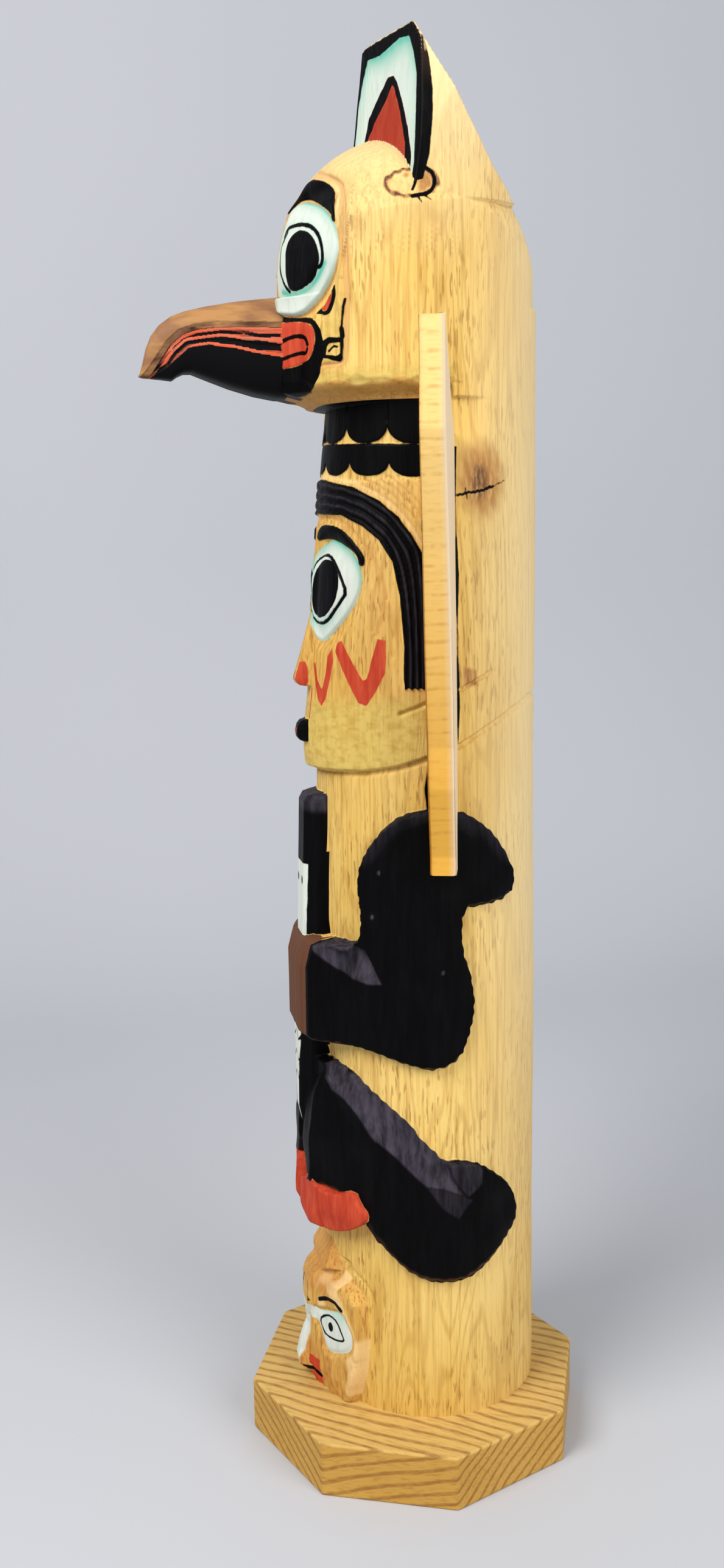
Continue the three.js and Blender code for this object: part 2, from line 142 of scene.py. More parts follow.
MOUTH = [(0, 384.2), (13.4, 383.5), (24.6, 383), (31.1, 382), (35, 380.5), (36, 378), (35.4, 374.8),
    (32.6, 371.7), (27.4, 370.3), (20.3, 369.4), (0, 368.6)]
MOUTH_FIELD = [(0, 386.6), (11.6, 386), (20.1, 384.4), (30.6, 384), (37, 381.8), (40.2, 378.4),
    (41, 371.2), (38.8, 369.2), (38.4, 366.1), (33.8, 363), (26.3, 361.3), (0, 360)]
MOUTH_LINE = [(8, 375.8), (15.8, 377.2), (19.3, 378.3), (24.4, 378.8), (29.9, 377.9), (31.2, 375.6)]
MOUTH_LINE_LOW = [(31, 374.4), (30.1, 373), (26.2, 373.6), (19.8, 372.9), (12, 371)]


def smooth(a, b, x):
    t = np.clip((x - a) / (b - a), 0, 1)
    return t * t * (3 - 2 * t)


def mix(a, b, t):
    return a + (b - a) * t


def distance(s, z, points, closed, reach):
    """Distance to a line, negative inside when it is closed; far points only get reach."""
    p = np.array(points, float)
    out = np.full(s.shape, reach)
    near = ((s > p[:, 0].min() - reach) & (s < p[:, 0].max() + reach) & (z > p[:, 1].min() - reach)
        & (z < p[:, 1].max() + reach))
    a, b = s[near], z[near]
    d = np.full(a.shape, 1e9)
    inside = np.zeros(a.shape, bool)
    after = np.roll(p, -1, axis=0)
    for (x0, y0), (x1, y1) in list(zip(p, after))[:None if closed else -1]:
        ex, ey = x1 - x0, y1 - y0
        t = np.clip(((a - x0) * ex + (b - y0) * ey) / (ex * ex + ey * ey + 1e-12), 0, 1)
        d = np.minimum(d, np.hypot(a - x0 - t * ex, b - y0 - t * ey))
        if closed and y0 != y1:
            inside ^= ((y0 > b) != (y1 > b)) & (a < ex * (b - y0) / ey + x0)
    return out, near, np.where(inside, -d, d)


def polygon(s, z, points, reach=FAR):
    """Signed distance to a closed outline, negative inside."""
    out, near, d = distance(s, z, points, True, reach)
    out[near] = d
    return np.minimum(out, reach)


def stroke(s, z, points, width, reach=FAR):
    """Distance to an open line, less half its width."""
    out, near, d = distance(s, z, points, False, reach)
    out[near] = d - width / 2
    return np.minimum(out, reach)


def rounded(points, cuts=2):
    """An outline with its corners cut again and again, so it runs as a curve."""
    p = np.array(points, float)
    for _ in range(cuts):
        q = np.roll(p, -1, axis=0)
        p = np.stack([0.75 * p + 0.25 * q, 0.25 * p + 0.75 * q], axis=1).reshape(-1, 2)
    return p


def softened(points, cuts=2):
    """The same for an open line, its ends kept."""
    p = np.array(points, float)
    for _ in range(cuts):
        a, b = p[:-1], p[1:]
        inner = np.stack([0.75 * a + 0.25 * b, 0.25 * a + 0.75 * b], axis=1).reshape(-1, 2)
        p = np.vstack([p[:1], inner[1:-1], p[-1:]])
    return p


def scaled(points, factor):
    """Degrees round the log to millimetres along its skin."""
    return [(a * factor, b) for a, b in points]


def on_skin(s, z, factor):
    """Makers of signed distances, for outlines and for lines given in degrees round the wood."""
    def area(points, cuts=2):
        return polygon(s, z, rounded(scaled(points, factor), cuts))

    def mark(points, width=0, cuts=2):
        return stroke(s, z, softened(scaled(points, factor), cuts), width)
    return area, mark


def join(*fields):
    """The outline round several others taken together."""
    return np.minimum.reduce(fields)


def only(where, field):
    """The field where it applies, and far off elsewhere."""
    return np.where(where, field, FAR)


def bell(x, width):
    return np.exp(-(x / width) ** 2)


def circle(th, yc, radius, cy):
    """How far out from the axis at yc a round section centred at cy reaches."""
    d = yc - cy
    return d * np.cos(th) + np.sqrt(np.maximum(radius * radius - (d * np.sin(th)) ** 2, 0.01))


def wedge(th, yc, front, x1, x2, y2):
    """The same for a block with a flat front of half width x1 and slanted cheeks to (x2, y2)."""
    c, s = np.cos(th), np.abs(np.sin(th))
    face = np.where(c > 0.05, (yc - front) / np.maximum(c, 0.05), NO_HIT)
    dx, dy = x2 - x1, y2 - front
    length = np.hypot(dx, dy)
    nx, ny = dy / length, -dx / length
    along = nx * s - ny * c
    cheek = np.where(along > 0.03, (nx * x1 + ny * (front - yc)) / np.maximum(along, 0.03), NO_HIT)
    return np.minimum(face, cheek)


def block(th, yc, front, x1, x2, y2):
    """A wedge that stands out in front only, its sides running straight back from (x2, y2)."""
    side = x2 / np.maximum(np.abs(np.sin(th)), 0.02)
    return np.where(np.cos(th) > 0.1, np.minimum(wedge(th, yc, front, x1, x2, y2), side), 0)


def plane(th, yc, x, y, nx, ny):
    """Radius at which a ray meets an upright plane through (x, y) that faces (nx, ny)."""
    along = nx * np.abs(np.sin(th)) - ny * np.cos(th)
    return np.where(along > 0.03, (nx * x + ny * (y - yc)) / np.maximum(along, 0.03), NO_HIT)


def under(high, low, d, soft):
    """high inside an outline and low outside it, over a slope of width soft."""
    return mix(high, low, smooth(-soft, soft * 0.15, d))


# Millimetres along the wood for one degree round the log, and round the bird's head
DEG = 0.6545
HEAD_DEG = 0.682


def table(z, pairs):
    p = sorted(pairs)
    return np.interp(z, [a for a, _ in p], [b for _, b in p])


def scallops(th_deg, z, top, cusp, depth, centre, pitch):
    """Signed distance to a row of round-ended feathers, negative on a feather."""
    u = (np.mod(th_deg - centre + pitch / 2, pitch) - pitch / 2) * COLLAR_R * math.pi / 180
    half = pitch / 2 * COLLAR_R * math.pi / 180
    f = np.clip(np.abs(u) / half, 0, 0.999)
    edge = cusp - depth * np.sqrt(1 - f ** 2.2)
    slope = 1.1 * depth * f ** 1.2 / np.sqrt(1 - f ** 2.2) / half
    return np.maximum((edge - z) / np.sqrt(1 + slope * slope), z - top)


def carve(th, z, above_chin):
    """Radius of the carved log round its axis, with the paint distances, for angle and height."""
    deg = np.abs(np.degrees(th))
    yc = np.where(z > 400, LOG_Y - 15 * (z - 400) / 68, LOG_Y)
    log = circle(th, yc, LOG_R, LOG_Y)
    s = deg * DEG
    area, mark = on_skin(s, z, DEG)
    front = 1 - smooth(89.5, 91.5, deg)

    # Middle face: it grows out downward from the collar, over the chin line
    chin_z = np.interp(deg, *zip(*CHIN))
    mid = table(z,
        [(236, 40.5), (242, 41.2), (247, 41.6), (257, 41), (266, 40), (284, 38.4), (292, 37.6),
        (302, 36.8), (313, 35.8), (325, 34.7), (336, 33.6)])
    side = table(z,
        [(236, 38), (250, 38.4), (268, 38.2), (292, 37.4), (310, 36.2), (325, 34.8), (336, 33.6)])
    back = table(z, [(236, 37.6), (300, 37.4), (320, 36.6), (336, 35.6)])
    face = mix(mix(mid, side, smooth(5, 58, deg)), back, smooth(60, 92, deg))
    sock = area([(2.5, 301), (6, 316), (24, 320), (43, 312), (48, 301), (38, 287), (17, 280), (4, 285)])
    face = face - 2.2 * smooth(1.5, -4, sock)
    lid = area(FACE_EYE)
    face = face + 1.1 * smooth(0.3, -1.2, lid) + 0.9 * smooth(-1, -7, lid)
    pupil = area(FACE_PUPIL)
    almond = area(FACE_ALMOND, 1)
    face = face + 0.5 * smooth(0.3, -0.8, almond)
    line = mark(FACE_LINE)
    face = face - 0.5 * bell(line, 0.8)
    brow = area(FACE_BROW)
    face = face + 0.8 * smooth(0.4, -0.9, brow)
    nose_front = table(z,
        [(266, -33), (268.4, -34), (269.2, -38.2), (271, -39.2), (280, -36.6), (292, -33.2), (302, -32),
        (313, -30.8), (322, -30)])
    nose_half = table(z, [(266, 3.2), (270, 3.2), (276, 2.8), (292, 1.6), (320, 1.4)])
    nose = block(th, yc, nose_front, nose_half, nose_half + 2.6, nose_front + 6.5)
    nose = np.where((z > 266) & (z < 320), nose, 0)
    on_nose = nose > face
    face = np.maximum(face, nose)
    lip_front = table(z,
        [(249.4, -34), (250.4, -37.9), (251.6, -38.9), (253.7, -39.2), (256, -38.6), (257.2, -37.6),
        (258, -34)])
    lip = np.where((z > 249.4) & (z < 258), block(th, yc, lip_front, 2.4, 5.2, -35.4), 0)
    on_lip = lip > face
    face = np.maximum(face, lip)
    gouge = join(*[mark(g, 0, 0) for g in GOUGES])
    face = face - 0.3 * bell(gouge, 0.6)
    # Hair band with three ribs
    hair_in = area(HAIR_OUT + HAIR_IN[::-1], 0) + 0.7 * np.abs(np.sin(s * 1.7)) * smooth(273, 270, z)
    d_out = mark(HAIR_OUT)
    d_in = mark(HAIR_IN)
    across = d_out / np.maximum(d_out + d_in, 0.01)
    rib_wave = np.abs(np.sin(across * math.pi * 3.5 + 0.25 + 0.14 * np.sin(s * 0.7)))
    ribs = 0.9 * rib_wave ** 0.6
    hatch = np.cos(d_out * 3.1 + 0.5 * np.sin(s * 0.9)) * smooth(24, 30, s) * smooth(0.8, 1.8,
        hair_in) * (d_out < d_in)
    face = face + (0.25 + ribs) * smooth(0.4, -0.6, hair_in)
    # A slanted cut at the corner of the jaw
    wedge_line = mark([(65, 261.9), (72, 263.6), (84, 267), (96, 269.8), (112, 274.5)], 0, 0)
    face_r = mix(face, log, smooth(100, 150, deg))
    if above_chin:
        r = mix(log, face_r, np.where(deg < 93, 1, smooth(112, 93, deg)))
        r = r - 3.2 * smooth(chin_z + 0.9, chin_z - 0.6, z)
    else:
        r = log - 1.0 * bell(z - chin_z + 0.6, 0.9) - 2.5 * smooth(chin_z - 0.2, chin_z + 0.8, z)
    r = r - 1.1 * smooth(1.1, 0, wedge_line) * smooth(118, 104, deg)
    r = r - 0.8 * smooth(0.3, -0.8, area(WING_GAP, 0))

    # Feather collar
    sag = 0.028 * deg
    row1 = scallops(deg, z + sag, 362, 352.4, 5.4, 14.5, 28.6)
    row2 = scallops(deg, z + sag, 347.0, 341.4, 4.3, 20.4, 25.2)
    taper = table(z, [(332, 34), (338, 33.2), (344, 32.5), (352, 31.4), (358, 30.8)])
    collar = mix(taper, COLLAR_R, smooth(20, 70, deg))
    collar = collar + 0.75 * smooth(0.35, -0.45, row1) + 0.55 * smooth(0.35, -0.45, row2)
    split = np.minimum(np.abs(deg - 28.8), np.abs(deg - 57.4)) * COLLAR_R * math.pi / 180
    collar = collar - 0.5 * bell(split, 0.4) * smooth(351, 353, z)
    in_collar = smooth(333.6, 335.2, z) * front
    hatch = hatch * smooth(0.4, 1.2, row2) * (z > 300) * (z < 345) * (deg < 96)
    r = mix(r, collar, in_collar * smooth(-0.2, 0.8, hair_in))

    r = r - 0.22 * smooth(-0.2, 0.9, hatch)

    # Bird head
    column = np.maximum(circle(th, yc, HEAD_R, HEAD_Y), log)
    dome_r = np.sqrt(np.maximum(DOME_R ** 2 - np.maximum(z - DOME_Z, 0) ** 2, 0.5))
    dome = circle(th, yc, dome_r, 0.0)
    head = np.minimum(column, np.where(z > DOME_Z - 12, dome, 99))
    hx, hy = head * np.sin(th), yc - head * np.cos(th)
    hdeg = np.abs(np.degrees(np.arctan2(hx, HEAD_Y - hy)))
    hs = hdeg * HEAD_DEG
    head_area, head_mark = on_skin(hs, z, HEAD_DEG)
    jaw = table(z,
        [(JAW_Z - 0.8, 33.2), (JAW_Z + 0.2, 33.6), (361.8, 39.0), (362.4, 40.0), (364.5, 41.4),
        (368, 43)])
    bevel_wave = 0.5 * np.sin(deg * 0.21) + 0.35 * np.sin(deg * 0.47 + 1)
    jaw_edge = np.minimum(column,
        jaw + bevel_wave * smooth(361, 364, z) + circle(th, yc, HEAD_R, HEAD_Y) - 41.2)
    jaw_edge = np.maximum(jaw_edge, COLLAR_R)
    head = np.where(z < 369,
        np.minimum(head, mix(jaw_edge, np.maximum(jaw_edge, log), smooth(89.5, 92.5, deg))), head)
    keel_front = table(z,
        [(380, -42), (392, -41.8), (399, -41.7), (405, -41), (412, -39.6), (418, -37.6), (428, -31)])
    keel = wedge(th, yc, keel_front, 0.4, 14, keel_front + 6.6)
    in_keel = smooth(380, 388, z) * smooth(428, 421, z)
    head = np.where(deg < 70, mix(head, np.minimum(head + 0.9, keel), in_keel * (keel < head + 0.9)),
        head)
    muzzle = block(th, yc, -42.2, 11.5, 27.5, -26.2)
    muzzle = muzzle * np.where((z > 360.6) & (z < 390.5), 1, 0)
    chin_in = table(z, [(358.2, 12), (360, 8.5), (362, 0.8), (365, 0), (391, 0)])
    head = np.maximum(head, muzzle - chin_in)
    head = np.where(deg < 24,
        np.minimum(head, (yc + 42.2 - chin_in) / np.cos(np.radians(np.minimum(deg, 24)))), head)
    eye = head_area(EYE)
    head = head - 1.0 * smooth(4, 0.2, eye) * smooth(-0.8, 0.4, eye) * smooth(6, 12, hdeg)
    head = head + 0.9 * smooth(0.4, -1.0, eye) * smooth(0, 6, hdeg) + 1.1 * smooth(-1, -8, eye)
    head_pupil = head_area(PUPIL)
    head = head + 0.35 * smooth(0.3, -0.7, head_pupil)
    head_brow = head_area(BROW, 1)
    head = head + 0.7 * smooth(0.4, -0.8, head_brow)
    edge = head_mark(EDGE_GROOVE)
    head = head - 0.75 * bell(edge, 0.8) * (z > JAW_Z + 6)
    mouth = head_area(MOUTH, 1)
    head = head + 0.35 * smooth(0.3, -0.5, mouth)
    # Vertical gouge marks on the side of the head
    flute = np.abs(np.sin(hs * 1.9 + 0.7 * np.sin(z * 0.07) + 0.5 * np.sin(hs * 0.6)))
    fluted = smooth(412, 404, z) * smooth(366, 372, z) * smooth(0.5, 2,
        edge) * (hdeg > 54) * smooth(120, 95, hdeg)
    head = head - 0.12 * flute * fluted

    # Two ears meet in a prow over the dome
    ridge = -21 + 0.12 * (z - 400)
    ear_x = table(z,
        [(468, 26.4), (466.7, 27.4), (461.7, 31.4), (451, 33.6), (440.5, 35.4), (425, 37), (410, 38)])
    ear_y = ridge + 0.386 * ear_x
    ear = plane(th, yc, 0, ridge, 0.36, -0.933)
    side_cut = plane(th, yc, ear_x, ear_y, 0.955, -0.296)
    ear_block = np.minimum(np.minimum(ear, side_cut), log)
    ex = ear_block * np.sin(np.radians(deg))
    on_face = (ear <= side_cut) & (ear < log)
    ear_block = ear_block - 1.4 * bell(ex, 0.9) * on_face
    ear_top = z > 416
    upper_part = np.where(ear_top, np.maximum(head, ear_block), head)
    is_ear = ear_top & (ear_block > head - 0.2)
    cut_y = table(z,
        [(470, -3.4), (468, -2.2), (461.7, -0.4), (451, 5.2), (440.5, 10.9), (430, 17.1), (425.3, 20),
        (420.5, 24.2), (414, 29.6), (406, 34.2), (396, 40), (388, 43.2), (300, 60)])
    c = -np.cos(th)
    sawn = np.where(c > 0.02, (cut_y - yc) / np.maximum(c, 0.02), NO_HIT)
    on_saw = upper_part > sawn - 0.3
    upper_part = np.minimum(upper_part, sawn)
    in_head = smooth(JAW_Z - 1.2, JAW_Z - 0.2, z)
    r = mix(r, upper_part, in_head)

    # Limbs
    knife = 0.28 * np.sin(s * 1.3 + z * 0.7) * np.sin(z * 0.9 - s * 0.4)
    arm = area(ARM, 1) + knife
    arm_above = polygon(s, z + 1.0, rounded(scaled(ARM, DEG), 1)) + knife
    limb = circle(th, yc, 39.6, 3.4) + 0.5
    facets = 0.28 * np.sin(s * 0.42 + z * 0.11) + 0.22 * np.sin(z * 0.36 - s * 0.13)
    d_sh = mark(SHOULDER_EDGE, 0, 0)
    d_fa = mark(FOREARM_EDGE, 0, 0)
    fa_facet = area(FOREARM_FACET, 0)
    arm_r = limb + facets - 1.3 * np.clip(1 - d_sh / 5.5, 0, 1) - 0.34 * d_fa * smooth(0.2, -0.5,
        fa_facet)
    arm_low = smooth(0.3, 0.8, arm - arm_above)
    r = np.maximum(r, under(np.maximum(arm_r, log + 0.3), log - 0.4, arm, 1.0 + arm_low) * (arm < 0.6))
    leg = area(LEG, 1) + knife
    leg_above = polygon(s, z + 1.0, rounded(scaled(LEG, DEG), 1)) + knife
    leg_low = smooth(0.3, 0.8, leg - leg_above) * smooth(108, 100, z)
    d_th = mark(THIGH_EDGE, 0, 0)
    th_facet = area(THIGH_FACET, 0)
    shin_front = table(z,
        [(97, -40.2), (116, -40), (123, -39.2), (130, -37.6), (136.5, -35.2), (143, -32.4)])
    shin = np.where(deg < 60, block(th, yc, shin_front, 14, 33, shin_front + 19), 0)
    leg_r = np.maximum(limb, shin) + facets - 0.42 * d_th * smooth(0.2, -0.5, th_facet)
    shin_gap = smooth(2.2, 4.2, np.abs(leg_r * np.sin(th)))
    r = np.maximum(r,
        under(np.maximum(leg_r, log + 0.3), log - 0.4, leg, 1.0 + 1.8 * leg_low) * (leg < 0.6)
        * (shin_gap > 0.5))
    hip = smooth(0.3, -0.5, area(HIP_FACET, 0)) * 0.6
    knee = smooth(0.3, -0.5, area(KNEE_FACET, 0)) * 0.4
    foot = area(FOOT, 1)
    foot_front = table(z,
        [(79, -37), (84, -40.4), (90.5, -43.4), (97, -43.6), (100.8, -43.2), (102.6, -41.2)])
    foot_r = np.minimum(wedge(th, yc, foot_front, 12, 33.6, -23.4), circle(th, yc, 42.6, 0.6))
    toe_cut = 0.5 * bell(np.abs(foot_r * np.sin(th)) - 17, 0.6)
    foot_r = np.maximum(foot_r - toe_cut, log + 1.6) + 0.2 * np.sin(z * 0.35 + s * 0.3)
    foot_gap = np.abs(foot_r * np.sin(th)) > 2.4
    on_foot = (foot < 0.6) & foot_gap & (foot_r > r)
    r = np.maximum(r, under(foot_r, log - 0.4, foot, 0.8) * (foot < 0.5) * foot_gap)

    # The long fish held upright in front, and the hands folded over it
    fish_front = table(z,
        [(114.6, -38), (116.4, -40), (122, -41.2), (150, -41), (160, -39), (186, -38.8), (205, -38.4),
        (230, -37.8), (232.4, -36.4), (233.4, -31)])
    fish_half = table(z, [(113, 3.4), (117, 4.2), (150, 8), (190, 9.6), (233, 9.2)])
    fish = block(th, yc, fish_front, fish_half * 0.55, fish_half + 0.8, fish_front + 4.2)
    fish = np.where((z > 113.2) & (z < 233.6), fish, 0)
    on_fish = fish > r
    r = np.maximum(r, fish)
    hand_front = table(z, [(151, -40.5), (152.4, -41.9), (176, -41.8), (183.6, -39.8), (185, -36)])
    hand = np.minimum(wedge(th, yc, hand_front, 10, 20, hand_front + 3.2),
        wedge(th, yc, hand_front, 16, 20, -35))
    hand = np.where((z > 151) & (z < 185.2), hand, 0)
    hand_x = hand * np.sin(np.radians(deg))
    fingers = 0.7 * bell(np.mod(hand_x, 5.2) - 2.6, 0.45) * (hand_x < 14) * smooth(183, 176, z)
    hand = hand - fingers
    on_hand = (hand >= r) & (hand_x < 16.4)
    r = np.maximum(r, np.where(deg < 40, hand, 0))

    # Small face at the foot
    ridge_front = table(z,
        [(19, -37.6), (21.4, -39), (22.5, -41), (23.5, -43), (27, -43.4), (33, -42.1), (37.6, -40.6),
        (39.7, -39.5), (47.6, -40.2), (56.8, -39.7), (60, -38.2), (60.8, -37.6), (62.9, -35),
        (65.2, -34.7), (68.8, -32.8), (74, -31)])
    ridge_half = table(z,
        [(19, 3), (24, 3.4), (30, 1.8), (38, 1.5), (43, 2), (49, 5), (62, 7), (65, 12), (74, 9)])
    nose_ridge = block(th, yc, ridge_front, ridge_half, ridge_half + 2.8, ridge_front + 5.6)
    cheek_front = table(z,
        [(19, -37.6), (26, -38.8), (57, -38.6), (60.2, -37.6), (62.6, -34.6), (72, -31)])
    cheek_edge = table(z, [(19, 22), (27, 24.6), (38, 26.6), (49, 27), (57, 26), (64, 19), (72, 16)])
    cheek_side = cheek_front + 0.54 * (cheek_edge - 6)
    cheeks = block(th, yc, cheek_front, 6, cheek_edge, cheek_side)
    mouth_in = (z < 30.5) & (z > 19)
    lips_front = table(z,
        [(19, -36.4), (20.4, -38.4), (22.2, -38.6), (24.6, -38.8), (26, -39.8), (28.6, -39.6),
        (30.5, -38)])
    snout = np.where(mouth_in, block(th, yc, lips_front, 5, 9.6, -34.5), 0)
    small = np.maximum(np.maximum(nose_ridge, cheeks), snout)
    small_x = small * np.sin(np.radians(deg))
    small_eye = polygon(small_x, z,
        rounded([(7.2, 48.4), (8.9, 47.8), (13.9, 50), (19.9, 51.6), (22.4, 48.8), (24.8, 45.6),
        (25, 41.2), (23.4, 38.6), (19.5, 36.2), (14.5, 34.1), (12.3, 35.4), (10.9, 38.6), (9.2, 42.4),
        (7.2, 43.7)], 1))
    small_ball = polygon(small_x, z,
        rounded([(9.8, 45), (11.9, 47.3), (14.9, 48.6), (17.8, 47.8), (20.4, 44.1), (21.6, 42.1),
        (17.7, 40.5), (13, 40.1), (10.8, 42)], 1))
    small_pupil = np.hypot((small_x - 14.9) * 1.5, z - 44.3) - 1.7
    small = small - 0.9 * smooth(1.8, -0.2, small_eye) * smooth(5, 8, small_x) + 0.6 * smooth(0.2, -1.8,
        small_eye)
    small_lips = only(mouth_in & (nose_ridge < np.maximum(cheeks, snout) + 0.1),
        np.maximum(np.abs(z - 24.0) - 5.0, small_x - 9.6))
    small_gap = stroke(small_x, z, [(3, 23.4), (5, 23.4), (9.2, 22.6)], 2.0)
    small = small - 1.0 * smooth(0.3, -0.5, small_gap) * mouth_in
    bend = 1.2 * np.sin(z * 0.13 + small_x * 0.05)
    cuts = (0.55 * np.abs(np.sin(small_x * 0.31 + z * 0.13 + bend)) + 0.45
        * np.abs(np.sin(z * 0.23 - small_x * 0.41 + 0.7 * bend)))
    plain = smooth(0.6, 2.2, small_eye) * smooth(7, 10, small_x) * smooth(0, 1.5, small_lips)
    small = small + (cuts - 0.45) * plain
    rim = area([(8, 76), (20, 69), (29, 64.5), (37, 62.4), (40.8, 59.4), (43, 54), (43, 37.6),
        (40.6, 29.4), (36.6, 21), (34, 17), (-20, 17), (-20, 76)])
    small = np.where(rim < 1.5, mix(small, log - 0.3, smooth(-1.8, 0.6, rim)), 0)
    small = np.maximum(small, (log - 0.6 * bell(rim - 2.6, 0.7)) * (z < 74) * (deg > 30))
    on_small = (small > r - 0.2) & (rim < 0)
    r = np.where((z < 70) & (rim < 4), np.maximum(small, 0), np.maximum(r, small))

    # Shallow uneven tool marks and a little wander over the whole log
    wander = 0.16 * np.sin(z * 0.043 + 3 * np.sin(th)) + 0.12 * np.sin(2 * th + z * 0.02)
    facet_marks = 0.06 * np.sin(deg * 0.55 + 0.8 * np.sin(z * 0.11)) * np.sin(z * 0.19 + deg * 0.05)
    r = r + wander + facet_marks

    # The very top edge is worn a little
    r = r - 0.7 * smooth(467.2, 468, z)

    # ---- paint, as signed distances in millimetres
    low = z < JAW_Z
    hair_black = only(low, hair_in)
    collar_black = only((z > 333.4) & (z < JAW_Z - 0.4) & (deg < 91),
        join(row1, row2, np.maximum(deg - 7, 347.6 - z) * 0.5))
    limbs_black = join(arm, leg)
    limbs_black = only(shin_gap > 0.5, limbs_black)
    foot_red = only(foot_gap, foot)
    limbs_black = np.where(on_foot, np.maximum(limbs_black, -foot_red), limbs_black)
    xs = r * np.sin(np.radians(deg))
    eye_dot = np.hypot(xs - 3.4, (z - 203) * 0.8) - 1.2
    ticks = join(*[stroke(xs, z, softened([(1.2, k + 3), (3.8, k), (5.4, k + 2.6)]), 0.8)
        for k in (146, 138.5, 131)])
    edge_in = table(z, [(113, 0.5), (120, 1.5), (150, 5.2), (190, 6.6), (209, 6.8)])
    fish_black = only(on_fish & ~on_hand, join(edge_in - xs, 209 - z, eye_dot, ticks))
    small_black = only(on_small,
        join(np.abs(small_ball) - 0.4, small_pupil, np.maximum(small_gap, small_x - 9),
        stroke(small_x, z, softened([(10.2, 52.8), (13.1, 54.5), (16.6, 55), (20.8, 53.6)]), 1.5),
        stroke(small_x, z, softened([(3.4, 56), (4.6, 53), (5.2, 50)]), 0.9)))
    head_on = (z > JAW_Z + 1.2) & ~is_ear & (deg < 96)
    box = join(np.maximum(head_area(BOX, 0), -head_area(BOX_IN, 0)), head_mark(BOX_MARK, 0.8, 0))
    field = np.maximum(head_area(MOUTH_FIELD, 1), -mouth)
    eye_lines = join(head_mark(EYE_LINE, 1.3), head_mark(EYE_LINE_LOW, 0.9))
    tear = head_area(TEAR, 1)
    tear_red = head_area(TEAR_RED, 0)
    head_black = join(head_brow, head_pupil, eye_lines, np.maximum(tear, -tear_red), box, field,
        head_mark(THIN_LINE, 0.7, 0), head_mark(THIN_LINE[-2:], 1.5, 0), head_mark(MOUTH_LINE, 1.3),
        head_mark(MOUTH_LINE_LOW, 1.2))
    head_black = only(head_on, head_black)
    # Ear paint, in the flat of the ear
    leaf = [(0, 425), (1.6, 438.7), (1.8, 451.7), (2.8, 458.5), (3.9, 463.5), (10.3, 462.9),
        (20.3, 464.9), (25.3, 464.1), (28.6, 458), (31, 451.8), (32.2, 443.3), (33.1, 436),
        (34.2, 426.5), (33.6, 415), (0, 415)]
    vee = [(6.4, 425), (6.8, 438), (8, 445.3), (11.7, 450.3), (16.1, 455), (19, 454.6), (21.2, 452.1),
        (25.2, 445.3), (29.3, 437), (32.6, 427.9), (32.4, 415), (8, 415)]
    vee_in = [(7.8, 425), (8.4, 438.4), (11.8, 443.7), (16, 448), (18.8, 452), (19.9, 451),
        (24.1, 443.3), (28.5, 433.1), (29.6, 427), (29.2, 415), (9, 415)]
    ear_leaf = polygon(xs, z, leaf)
    ear_vee = np.maximum(polygon(xs, z, vee), -polygon(xs, z, vee_in))
    ear_black = np.maximum(join(-ear_leaf, ear_vee),
        z - 467.8 - 0.25 * np.sin(xs * 1.1) * np.sin(xs * 2.7 + 1))
    band_angle = np.degrees(np.arctan2(xs, -(yc - r * np.cos(th) - LOG_Y)))
    band_edge = table(z,
        [(415, 76), (421, 77.6), (425, 79.4), (428, 80.8), (440, 82.6), (447, 82.7), (456, 81.3),
        (462, 79), (468, 73)])
    ear_side = only(is_ear & ~on_saw & (z > 421) & (deg < 130), (band_angle - band_edge) * DEG)
    ear_side = np.maximum(ear_side,
        mix(-3.0, -0.04, smooth(446, 459, z)) + 0.12 * np.sin(band_angle * 3.3 + z * 0.2))
    ear_black = np.where(is_ear & on_face, ear_black, ear_side)
    black = join(hair_black, collar_black, limbs_black, fish_black, small_black, head_black, ear_black,
        only(low, join(pupil, np.abs(almond) - 0.5, brow)),
        only(low & on_lip, np.maximum(np.abs(z - 253.7) - 4.2, 1.0 - np.hypot(xs, z - 253.7))))
    white = join(only(low, lid), only(head_on, eye), only(is_ear & on_face, ear_leaf - 0.6),
        only(on_fish & ~on_hand, np.maximum(xs - fish_half, z - 209)),
        only(on_small,
        join(small_eye, stroke(small_x, z, [(0, 44), (0, 24)], 5.4),
        stroke(small_x, z, [(0, 46), (9, 46)], 4.4))))
    ys = yc - r * np.cos(th)
    nostril = polygon(ys, z,
        rounded([(-35, 277), (-37.4, 277), (-39.6, 275), (-40.4, 268), (-35, 268)], 1))
    nostril = only(on_nose & (xs > 1.6), nostril)
    lips = np.where(on_lip, np.hypot(xs, z - 253.7) - 1.3, stroke(xs, z, [(4.8, 268), (4.4, 258)], 1.0))
    red = join(foot_red, only(low & (z > 240), join(area(BIG_V, 0), area(SMALL_V, 0), nostril, lips)),
        only(head_on, join(mouth, tear_red)), only(is_ear & on_face, polygon(xs, z, vee)),
        only(on_small, small_lips))
    held = (deg < 44) & (z > 149.6) & (z < 186.6) & (r > log + 0.9) & (on_hand | ~on_fish)
    brown = only(held, xs - 16.4)
    black = np.where(held, np.maximum(np.minimum(black, 15.8 - xs), 15.8 - xs), black)
    water = head_mark(EYE_WATER, 0.8)
    wash = np.exp(eye / 1.1) * (0.35 + 0.65
        * smooth(404, 414, z)) + 0.95 * np.exp(-np.maximum(water, 0) / 0.7)
    aqua = np.where(head_on & (eye < 0.3), wash + 0.2 * np.exp(-np.maximum(eye_lines, 0) / 1.4), 0)
    face_wash = np.exp(lid / 1.4) * smooth(296, 312,
        z) + 0.8 * np.exp(-np.abs(almond) / 1.3) * smooth(297, 291, z)
